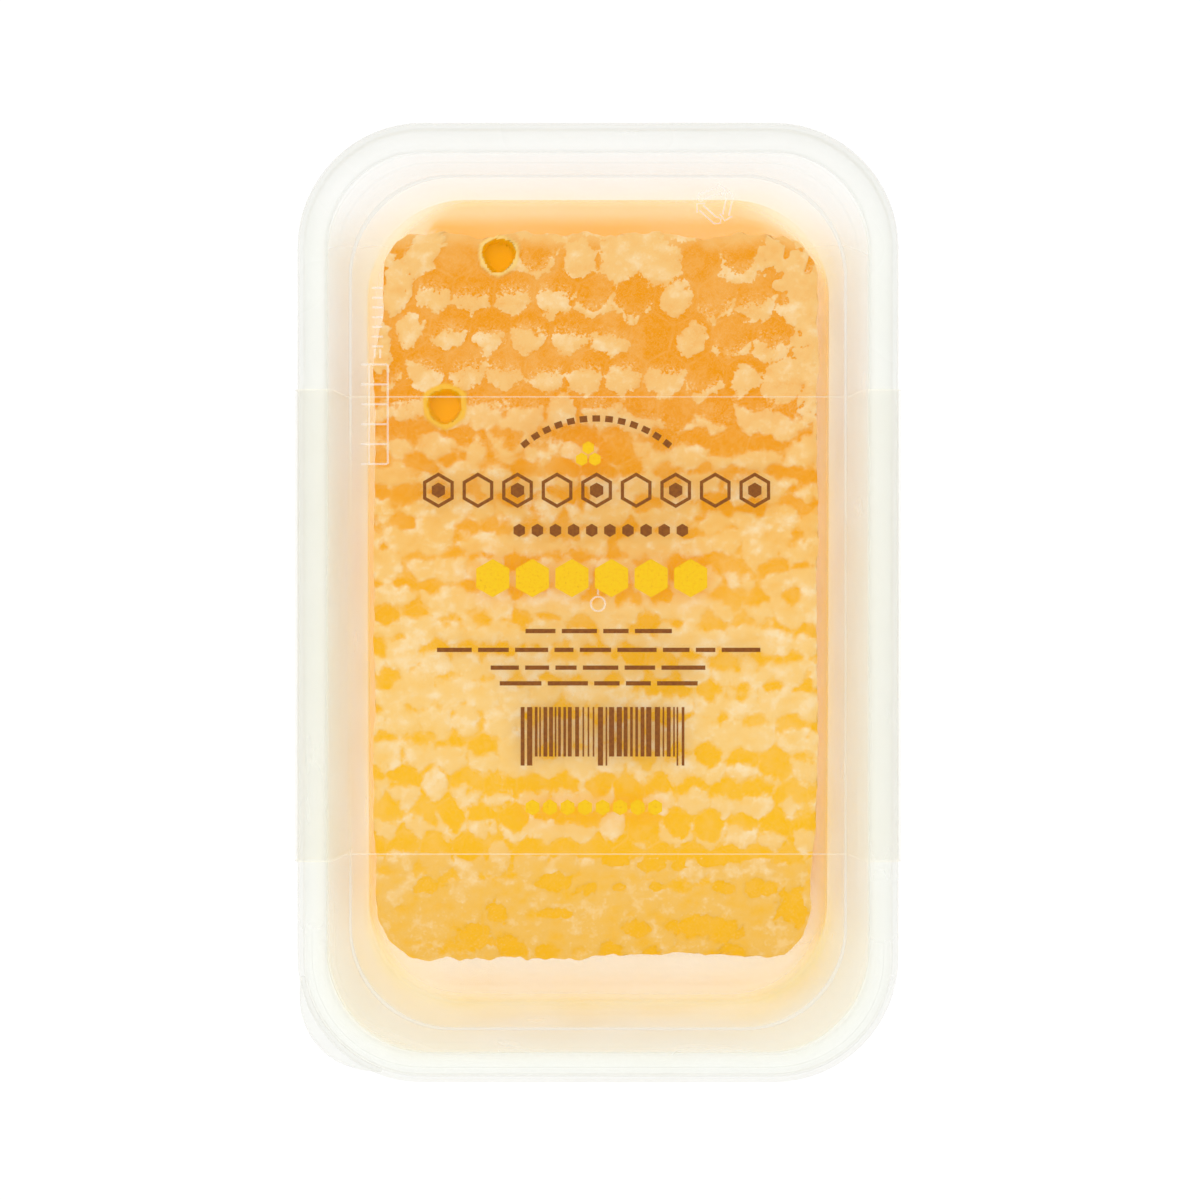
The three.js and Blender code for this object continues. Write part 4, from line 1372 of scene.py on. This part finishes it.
@dataclass
class CombLayer:
    """One of the block's two layers of cells, from the wax rib between them to its caps."""

    name: str
    facing: Facing
    cap_z: float
    rib_z: float
    grid: float
    phase: tuple[float, float] = (0.0, 0.0)
    open_cells: tuple[OpenCell, ...] = ()
    marked: dict[CapKind, tuple[tuple[float, float], ...]] = field(default_factory=dict)
    smears: tuple[Smear, ...] = ()
    shares: ClassVar[dict[CapKind, float]] = {
        CapKind.FULL: 0.05, CapKind.RUN: 0.03, CapKind.BIB: 0.68, CapKind.THIN: 0.14,
        CapKind.BARE: 0.10}
    # How far each long side draws in near its ends, and the Y where that begins and is whole.
    drawn_in: ClassVar[dict[int, tuple[tuple[float, float, float], ...]]] = {
        1: ((1.1, -30, -42),), -1: ((1.3, 33, 43), (0.35, -34, -44))}
    lattice: CellLattice = CellLattice()
    half_x: float = 32.2
    half_y: float = 52.25
    centre_x: float = -0.3
    centre_y: float = 0.95
    corners: tuple[float, float, float, float] = (7, 6, 8, 7)
    flute: float = 0.75
    rise: float = 0.42
    edge_drop: float = 0.35
    side_levels: int = 16

    def side_x(self, y: Array, side: int) -> Array:
        """The outline's X on one side.

        It is the half width, less the corners' curves and what the side draws in near its ends,
        and it wanders a little, as a knife does.

        Args:
            y: Places along the block.
            side: 1 for the +X side and -1 for the other.

        Returns:
            X at each place.
        """
        upper, lower = self.corners[::3] if side > 0 else self.corners[1:3]
        away = y - self.centre_y
        radius = np.where(away > 0, upper, lower)
        over = np.clip(np.abs(away) - (self.half_y - radius), 0, radius)
        wander = SoftNoise(5 + side, 5.0)(y, y * 0) * 0.28 + SoftNoise(8 + side, 1.3)(y, y * 0) * 0.14
        curve = radius - np.sqrt(np.maximum(0, radius ** 2 - over ** 2))
        for depth, start, whole in self.drawn_in[side]:
            curve = curve + depth * smooth_step(start, whole, y)
        return self.centre_x + side * (self.half_x - curve - 0.3 + wander)

    def plan(self) -> tuple[Array, Array]:
        """X and Y of the capped face's grid: rows run from side to side of the outline."""
        rows, columns = round(2 * self.half_y / self.grid), round(2 * self.half_x / self.grid)
        share, across = np.linspace(-1, 1, rows)[:, None], np.linspace(0, 1, columns)[None]
        flat = self.centre_y + (self.half_y - 0.35) * share
        x = lerp(self.side_x(flat, -1), self.side_x(flat, 1), across)
        wander = (SoftNoise(11, 6.0)(x, share * 9) * 0.5 + SoftNoise(12, 1.9)(x, share * 9) * 0.5
                  + SoftNoise(13, 0.8)(x, share * 9) * 0.2)
        near_end = smooth_step(0.93, 1.0, np.abs(share))
        return x, flat + wander * near_end

    def warp(self, x: Array, y: Array) -> tuple[Array, Array]:
        """Places moved a little, so that no two cells are alike."""
        a, b = SoftNoise(21, 4.1), SoftNoise(22, 4.1)
        c, d = SoftNoise(23, 1.9), SoftNoise(24, 1.9)
        return (x + a(x, y) * 0.27 + c(x, y) * 0.13 + self.phase[0],
                y + b(x, y) * 0.22 + d(x, y) * 0.13 + self.phase[1])

    def kinds(self) -> Array:
        """A kind's number for every cell: drawn at random, then set for the marked cells."""
        numbers, shares = [kind.value for kind in self.shares], list(self.shares.values())
        table = np.random.default_rng(41).choice(numbers, self.lattice.table, p=shares)
        for kind, places in self.marked.items():
            for row, column in places:
                table[self.lattice.entry(np.float64(row), np.float64(column))] = kind.value
        return table

    @staticmethod
    def zone_at(y: Array) -> dict[str, Array]:
        """Each of the zones' values at places along the block."""
        knots = [zone.y for zone in CAP_ZONES]
        return {f.name: np.interp(y, knots, [getattr(zone, f.name) for zone in CAP_ZONES])
                for f in fields(CapZone)}

    def own_wax(self, cells: NearCells, zone: dict[str, Array]) -> tuple[Array, Array]:
        """Where the wax of each of the nearest cells lies, from its kind, its zone and chance.

        Its level is a parabola across the cell, rises times (2 across) squared, leaning by sway.

        Args:
            cells: The cells round each place.
            zone: The zones' values at the places, by name.

        Returns:
            Distance inside the wax's border and height over its level, in cells' widths.
        """
        draw = np.random.default_rng(42)
        level, rise, lean, roundness = (
            cells.draw(draw.random(self.lattice.table)) for _ in range(4))
        kinds = cells.draw(self.kinds())
        forms = [CAP_FORMS[kind] for kind in CapKind]
        form = {f.name: np.array([getattr(v, f.name) for v in forms])[kinds] for f in fields(CapForm)}
        low = np.minimum(form["level"], 0) * (1 - zone["cover"])
        own = zone["level"] + (level - 0.5) * zone["vary"]
        height = np.where(form["level"] > 0.5, 0.9, low + own)
        rises = form["rise"] + 0.16 * (rise - 0.5)
        sway = (lean - 0.5) * 0.42
        share = form["roundness"] * (0.6 + 0.8 * roundness)
        body = lerp(cells.edge(), cells.disc(), np.clip(share, 0, 1)) + form["spread"] + zone["spread"]
        return body, cells.up - height - rises * (2 * cells.across) ** 2 - sway * cells.across

    def caps(self, x: Array, y: Array) -> dict[str, Array]:
        """What the caps are like at each place.

        A cell's wax is where both its distance inside the border and its depth under the
        cell's own level are above 0. Wax of neighbouring cells runs together, so the largest
        of the nine cells' values counts. Over a bib lies a veil of torn wax. Smears come last.

        Args:
            x, y: Places on the block.

        Returns:
            The values at the places, by name.
        """
        cells = self.lattice.near_cells(*self.warp(x, y))
        zone = self.zone_at(y)
        body, over = self.own_wax(cells, zone)
        cap = np.minimum(body, -over * 1.7).max(0)
        veil = (smooth_step(0.02, 0.2, body) * (1 - smooth_step(0.0, 0.42, over))).max(0)
        edge = cells.edge().max(0)
        ribs = (zone["ribs"] - edge) * 3 + 0.35 * cloudy(91, 3.0, x, y)
        cap = np.where(zone["ribs"] > 0.01, np.maximum(cap, ribs), cap)
        cap = cap + zone["clouds"] * cloudy(51, 2.7, x, y * 1.05) + 0.2 * cloudy(53, 0.95, x, y)
        for smear in self.smears:
            patch = smear.field(x, y)
            cap = np.maximum(cap, patch) if smear.strength > 0 else np.minimum(cap, -patch)
        cap = np.clip(cap, -1, 1)
        thin = 0.3 * np.clip(0.1 + cloudy(55, 4.4, x, y) + 0.5 * cloudy(57, 1.2, x, y), 0, 1)
        # The +Y end melts into the honey beyond it.
        melt = smooth_step(49.8, 53.2, y + 0.8 * cloudy(85, 2.0, x, y))
        thin = np.maximum(thin, 0.8 * melt)
        clouds = cloudy(59, 2.4, x, y * 1.4) + 0.3 * cloudy(61, 0.8, x, y)
        # Painted highlights where the clouds are high, honey stains where they are low.
        shine = zone["shine"] * np.clip(clouds, 0, 1) - zone["stain"] * np.clip(-clouds, 0, 1)
        veil = np.maximum(veil, 0.12) * zone["veil"] * (0.65 + 0.5 * cloudy(63, 2.0, x, y))
        return {"cap": cap, "veil": np.clip(veil, 0, 1),
                "soft": zone["soft"], "thin": thin, "shine": shine, "wall": 1 - edge}

    def face(self) -> tuple[Array, dict[str, Array]]:
        """The capped face: domed caps, the open cells' lips and hollows, and a worn-down edge.

        Returns:
            Its grid of points, the values at the points by name.
        """
        x, y = self.plan()
        values = self.caps(x, y)
        dome = np.sqrt(np.clip(1 - values["wall"], 0, 1))
        height = self.rise * (0.35 * dome + 0.5 * smooth_step(-0.15, 0.3, values["cap"]))
        height += 0.16 * SoftNoise(65, 9.0)(x, y) + 0.05 * SoftNoise(66, 1.1)(x, y)
        lip, cup = np.zeros_like(x), np.zeros_like(x)
        for cell in self.open_cells:
            middle_x, middle_y = self.lattice.place(cell.row, cell.column)
            away_x, away_y = np.abs(x - middle_x), np.abs(y - middle_y)
            blunt = 1 + 0.06 * np.sin(3 * np.arctan2(y - middle_y, x - middle_x))
            reach = np.hypot(away_x, away_y) / blunt + 0.12 * SoftNoise(61, 1.6)(x, y)
            six = np.maximum(away_x, away_x / 2 + away_y * 0.866)
            hole = 1 - smooth_step(cell.radius - 0.15, cell.radius + 0.1, reach)
            ring = 1 - smooth_step(cell.lip - 0.15, cell.lip + 0.15, lerp(reach, six, 0.6) * 1.06)
            height = lerp(lerp(height, 0.45, ring), -cell.depth, hole)
            lip, cup = np.maximum(lip, ring), np.maximum(cup, hole)
        end = smooth_step(0.965, 1.0, np.abs((y - self.centre_y) / self.half_y))
        side = smooth_step(0.955, 1.0, np.abs((x - self.centre_x) / self.half_x))
        height -= self.edge_drop * np.maximum(end, side) * (1 - cup)
        z = self.cap_z + self.facing.value * height
        return np.stack([x, y, z], -1), {**values, "lip": lip, "cup": cup}

    def side_rings(self, loop: Array) -> tuple[Array, dict[str, Array]]:
        """The sliced sides, level by level from the caps down to the rib.

        The cut runs through cells, so its depth follows a place's distance from the cell
        walls: nothing on a wall and on the rib, and the flute's depth in a cell's middle.

        Args:
            loop: Points round the edge of the capped face.

        Returns:
            Rings of points, the values at the points by name.
        """
        ahead, behind = np.roll(loop, -3, 0), np.roll(loop, 3, 0)
        along = (ahead - behind)[:, :2]
        along /= np.linalg.norm(along, axis=1, keepdims=True)
        inward = np.column_stack([-along[:, 1], along[:, 0]])
        share = np.linspace(0, 1, self.side_levels + 1)[1:, None]
        base = loop[:, :2] + inward * 0.5
        edge = 1 - self.caps(base[:, 0], base[:, 1])["wall"]
        hollow = smooth_step(0.06, 0.55, edge)[None]
        for cell in self.open_cells:
            away = np.hypot(*(base - self.lattice.place(cell.row, cell.column)).T)
            hollow = hollow * smooth_step(cell.radius + 0.4, cell.radius + 1.6, away)
        under_cap = smooth_step(0.02, 0.12, share) * (1 - smooth_step(0.9, 1.0, share))
        rough = SoftNoise(71, 0.9)(np.arange(len(loop))[None] * self.grid, share * 15)
        depth = self.flute * hollow * under_cap + 0.06 * rough + 0.06
        z = lerp(loop[:, 2][None], self.rib_z, share)
        xy = loop[None, :, :2] + inward[None] * depth[..., None]
        cap = (0.55 - 1.25 * hollow) * under_cap + 0.4 * (1 - under_cap)
        zero = np.zeros_like(depth)
        return np.concatenate([xy, z[..., None]], -1), {
            "cap": cap, "veil": zero + 0.5, "soft": zero + 0.12, "thin": zero + 0.12,
            "shine": zero, "wall": zero, "lip": zero, "cup": zero}

    def shape(self) -> Shape:
        """The whole layer, closed by its capped face, its sides and a flat face at the rib."""
        face, face_values = self.face()
        rows, columns = face.shape[:2]
        number = np.arange(rows * columns).reshape(rows, columns)
        loop = np.concatenate([number[0, :-1], number[:-1, -1], number[-1, :0:-1], number[:0:-1, 0]])
        rings, ring_values = self.side_rings(face.reshape(-1, 3)[loop])
        levels, size = rings.shape[:2]
        points = np.concatenate([face.reshape(-1, 3), rings.reshape(-1, 3), rings[-1:].mean(1)])
        values = {name: np.concatenate([face_values[name].ravel(), ring_values[name].ravel(), [0.0]])
                  for name in face_values}
        start = rows * columns
        bands = np.concatenate([loop[None], start + np.arange(levels * size).reshape(levels, size)])
        ahead = np.roll(bands, -1, 1)
        sides = np.stack([bands[:-1], bands[1:], ahead[1:], ahead[:-1]], -1).reshape(-1, 4)
        under = fan_faces(bands[-1][::-1], len(points) - 1)
        faces = [grid_faces(rows, columns), sides, under]
        if self.facing is Facing.DOWN:
            faces = [f[:, ::-1] for f in faces]
        return Shape(points, faces, values)

    def build(self, *nodes: str) -> bpy.types.Object:
        """Makes the layer. Args: nodes: CAD nodes it stands for. Returns: The piece."""
        return make_piece(self.name, self.shape(), CombFinish(), "wax_comb", *nodes, crease=75)


# The cells of the first four rows at the +Y end, each by its row and column.
TOP_CELLS = {
    CapKind.RUN: ((1, 0.5), (1, 1.5), (4, 5)),
    CapKind.FULL: ((1, -0.5), (2, 2), (3, -4.5), (3, 2.5), (4, 4)),
    CapKind.BIB: ((2, -4), (2, -3), (2, -2), (2, -1), (2, 4), (3, -3.5), (3, -2.5), (3, -1.5),
                  (3, -0.5), (3, 0.5), (3, 4.5), (4, -4), (4, -3), (4, -2), (4, -1), (4, 0), (4, 1),
                  (4, 2)),
    CapKind.THIN: ((1, -1.5), (1, 3.5), (2, 0), (2, 1), (2, 3), (3, 3.5), (4, 3)),
    CapKind.BARE: ((1, -3.5), (1, 2.5), (3, 1.5)),
}
# Wax that has run over the caps: x, y, half_x, half_y and turn.
WAX_RUNS = (
    (-25.0, 50.8, 4.6, 1.9, 48), (-27.8, 47.9, 2.4, 1.9, 60), (-29.1, 44.6, 3.9, 1.9, 74),
    (4.6, 50.9, 4.2, 1.8), (25.0, 49.9, 1.9, 2.6), (31.2, 40.5, 3.6, 14.0), (29.4, 47.0, 2.6, 4.4),
    (27.6, 32.2, 3.0, 2.2), (26.8, 45.8, 1.4, 0.9), (-31.2, 36.5, 1.5, 4.2),
    (-28.6, -46.9, 3.4, 1.1, -52),
)
# Honey that shows through the caps at the -Y end, in the same order.
HONEY_SPOTS = (
    (-24.3, -40.8, 2.1, 1.1, 10), (-6.4, -40.2, 2.1, 1.4, 0), (-1.7, -41.4, 2.0, 0.9, 10),
    (-6.6, -44.7, 2.6, 0.9, -6), (-14.5, -44.6, 2.2, 1.1, -55), (-17.9, -48.5, 2.6, 1.9, 10),
    (-12.8, -49.3, 2.0, 1.6, -20), (-7.6, -50.2, 1.9, 1.0, 0), (2.4, -37.2, 2.0, 0.9, 0),
    (7.5, -37.5, 2.0, 1.1, 0), (11.8, -37.3, 1.3, 1.2, 0), (16.2, -37.1, 2.2, 0.9, 0),
    (3.2, -41.0, 1.1, 0.6, 0), (8.6, -41.1, 1.3, 0.7, -20), (18.1, -41.0, 1.9, 0.8, -10),
    (23.6, -41.2, 2.4, 1.3, 0), (27.6, -43.8, 2.4, 3.4, 0), (15.5, -46.8, 5.0, 1.7, -6),
    (5.4, -47.0, 2.3, 1.4, 0), (2.0, -50.0, 1.6, 1.0, 0), (19.3, -50.0, 1.4, 0.8, 0),
    (7.5, -50.3, 1.6, 0.7, 0),
)
SMEARS = (
    *(Smear(*run) for run in WAX_RUNS),
    Smear(30.6, 49.0, 0.5, 1.6, -20, -2.0), Smear(24.9, 47.6, 0.55, 0.8, 0, -3.0),
    *(Smear(*spot, strength=-1.2) for spot in HONEY_SPOTS),
)


# ---- The honey ------------------------------------------------------------------------------


@dataclass
class HoneyPool:
    """Honey that has run out over the floor round the block, a little deeper at the +Y end."""

    tub: Tub
    comb: CombLayer
    bottom_z: float = 1.1
    low_z: float = 1.8
    high_z: float = 2.6
    into_comb: float = 1.7
    into_wall: float = 0.15
    # How much it hides at places along the tub, beside the block and by the wall.
    near_y: tuple[float, ...] = (-60, -54, -49, -40, 14, 40, 60)
    # The dip beside the block at the -Y end clears the honey there for a pale line, a painted highlight.
    near: tuple[float, ...] = (0.34, 0.12, 0.4, 0.77, 0.8, 0.85, 0.96)
    far_y: tuple[float, ...] = (-60, -52, -40, 20, 35, 60)
    far: tuple[float, ...] = (0.44, 0.48, 0.53, 0.55, 0.6, 0.84)

    def level(self, y: Array) -> Array:
        """The surface's height, which falls evenly from the +Y end."""
        share = np.clip((y + self.tub.base_half_y) / (2 * self.tub.base_half_y), 0, 1)
        return lerp(self.low_z, self.high_z, share)

    def wall_loop(self) -> Array:
        """Where the surface meets the curve between floor and wall.

        At a height z over a floor at f, a fillet of radius r stands in from the wall by
        r - sqrt(r squared - (f + r - z) squared).
        """
        loop = self.tub.loops(self.high_z, 0.0, -self.into_wall)[0]
        loop[:, 2] = self.level(loop[:, 1])
        radius = self.tub.fillet
        drop = np.clip(self.tub.floor + radius - loop[:, 2], 0, radius)
        inset = radius - np.sqrt(radius ** 2 - drop ** 2)
        loop[:, :2] -= np.sign(loop[:, :2]) * inset[:, None]
        return loop

    def shape(self) -> Shape:
        """A ring with its section from the block out to the wall and back over its surface.

        The surface is a share of the way from the wall's loop to the block's, and climbs the
        block by a short curve.
        """
        steps = 16
        block = rounded_loops(
            self.comb.half_x - self.into_comb, self.comb.half_y - self.into_comb,
            np.array(self.comb.corners, float) * 0.8, 0.0, steps)[0]
        block[:, :2] += (self.comb.centre_x, self.comb.centre_y)
        wall = self.wall_loop()
        foot = self.tub.loops(self.bottom_z, 0.0, 1.6)[0]
        low_block = block.copy()
        low_block[:, 2] = self.bottom_z
        loops, shares = [low_block, foot], [0.0, 0.0]
        for share in (0.0, 0.06, 0.14, 0.26, 0.36, 0.46, 0.6, 0.8, 0.93, 1.0):
            loop = lerp(wall, block, share)
            loop[:, 2] = self.level(loop[:, 1]) + 0.5 * math.exp(-(1 - share) * 9)
            loops.append(loop)
            shares.append(share)
        loops = np.stack(loops)
        depth = self.depth(loops[..., 0], loops[..., 1], np.array(shares)[:, None])
        depth[:2] = 0.05
        return loft(loops, {"depth": depth}, ring=True)

    def depth(self, x: Array, y: Array, shares: Array) -> Array:
        """How much the honey hides.

        It hides more by the block than by the wall, where it thins out to a shore, less along
        the +Y part of the long sides, most of all on the -X side, and least in the corners.

        Args:
            x, y: Places on its loops.
            shares: Each loop's share of the way from the wall to the block, as a column.

        Returns:
            A value from 0 to 1 at each place.
        """
        near, far = np.interp(y, self.near_y, self.near), np.interp(y, self.far_y, self.far)
        beside = smooth_step(8, 26, y) * smooth_step(60, 53, y) * (np.abs(x) > 25)
        near *= 1 - beside * lerp(0.1, 0.5, x < 0)
        far *= 1 - 0.45 * smooth_step(10, 35, y) * smooth_step(60, 50, y) * (x < -25)
        corner = smooth_step(14, 30, np.abs(x)) * smooth_step(42, 56, np.abs(y))
        far *= 1 - np.where(y > 0, 0.88, 0.35) * corner
        low_end, high_end = smooth_step(-44, -56, y), smooth_step(44, 54, y)
        shore = lerp(0.75, 0.25, low_end) - 0.3 * high_end
        far *= lerp(shore, 1.0, smooth_step(0.0, lerp(0.12, 0.26, low_end), shares))
        climb = smooth_step(0.05, lerp(0.6, 0.5, high_end), shares)
        return lerp(far, near + 0.15 * corner * (y < 0), climb)

    def build(self) -> bpy.types.Object:
        """Makes the pool. Returns: The piece."""
        return make_piece("honey_pool", self.shape(), HoneyFinish(), "honey", "honey", crease=50)


# ---- The studio -----------------------------------------------------------------------------


@dataclass
class Studio:
    """A pale floor, soft light from all round and above, and the camera straight overhead."""

    distance: float = 0.7
    lens: float = 147.0
    aim: tuple[float, float] = (0.000286, 0.000357)
    sky: float = 0.80
    lamp: float = 9.9
    floor_half: float = 3.0
    floor_drop: float = 0.0002

    def floor(self) -> bpy.types.Object:
        """Makes the floor. Returns: The object."""
        mesh = bpy.data.meshes.new("floor")
        ways = ((-1, -1), (1, -1), (1, 1), (-1, 1))
        corners = [(x * self.floor_half, y * self.floor_half, -self.floor_drop) for x, y in ways]
        mesh.from_pydata(corners, [], [(0, 1, 2, 3)])
        mesh.materials.append(FloorFinish().material())
        floor = bpy.data.objects.new("floor", mesh)
        bpy.context.scene.collection.objects.link(floor)
        return floor

    def camera(self) -> bpy.types.Object:
        """Makes the camera, which looks straight down with +Y at the top. Returns: The camera."""
        data = bpy.data.cameras.new("camera")
        data.lens, data.sensor_width = self.lens, 36.0
        data.clip_start, data.clip_end = 0.01, 20.0
        camera = bpy.data.objects.new("camera", data)
        camera.location = (*self.aim, RIM.height * MM + self.distance)
        bpy.context.scene.collection.objects.link(camera)
        bpy.context.scene.camera = camera
        return camera

    def lights(self) -> None:
        """Makes an even sky and one wide soft lamp high above, a little to the -X, +Y side."""
        world = bpy.data.worlds.new("studio")
        world.use_nodes = True
        background = world.node_tree.nodes["Background"]
        background.inputs["Color"].default_value = (1.0, 1.0, 1.0, 1.0)
        background.inputs["Strength"].default_value = self.sky
        bpy.context.scene.world = world
        lamp = bpy.data.lights.new("soft_box", "AREA")
        lamp.shape, lamp.size, lamp.energy = "DISK", 1.6, self.lamp
        box = bpy.data.objects.new("soft_box", lamp)
        box.location = (-0.35, 0.45, 1.9)
        box.rotation_euler = (math.radians(-13), math.radians(-10), 0)
        bpy.context.scene.collection.objects.link(box)

    def build(self) -> None:
        """Makes the studio, with plain screen colours so that pale stays pale."""
        self.camera()
        self.floor()
        self.lights()
        scene = bpy.context.scene
        scene.view_settings.view_transform = "Standard"
        scene.cycles.transparent_max_bounces = 32
        scene.cycles.max_bounces = 5
        scene.cycles.diffuse_bounces = 3


def main() -> None:
    """Builds the pack piece by piece."""
    logging.basicConfig(level=logging.INFO, format="%(name)s %(message)s")
    Studio().build()
    tub, lid = Tub(), Lid()
    tub.build()
    lid.build()
    label = Label(tub, lid)
    label.build()
    LabelPrint(label).build()
    upper = CombLayer(
        "comb_upper", Facing.UP, 30.7, 15.5, 0.3,
        open_cells=(OpenCell(1, -2.5, 2.25, 3.05), OpenCell(5, -3.5, 2.3, 3.35)),
        marked=TOP_CELLS, smears=SMEARS)
    lower = CombLayer("comb_lower", Facing.DOWN, 1.5, 15.7, 0.6, phase=(2.3, 1.4))
    upper.build("honeycomb")
    lower.build()
    HoneyPool(tub, upper).build()


if __name__ == "__main__":
    main()
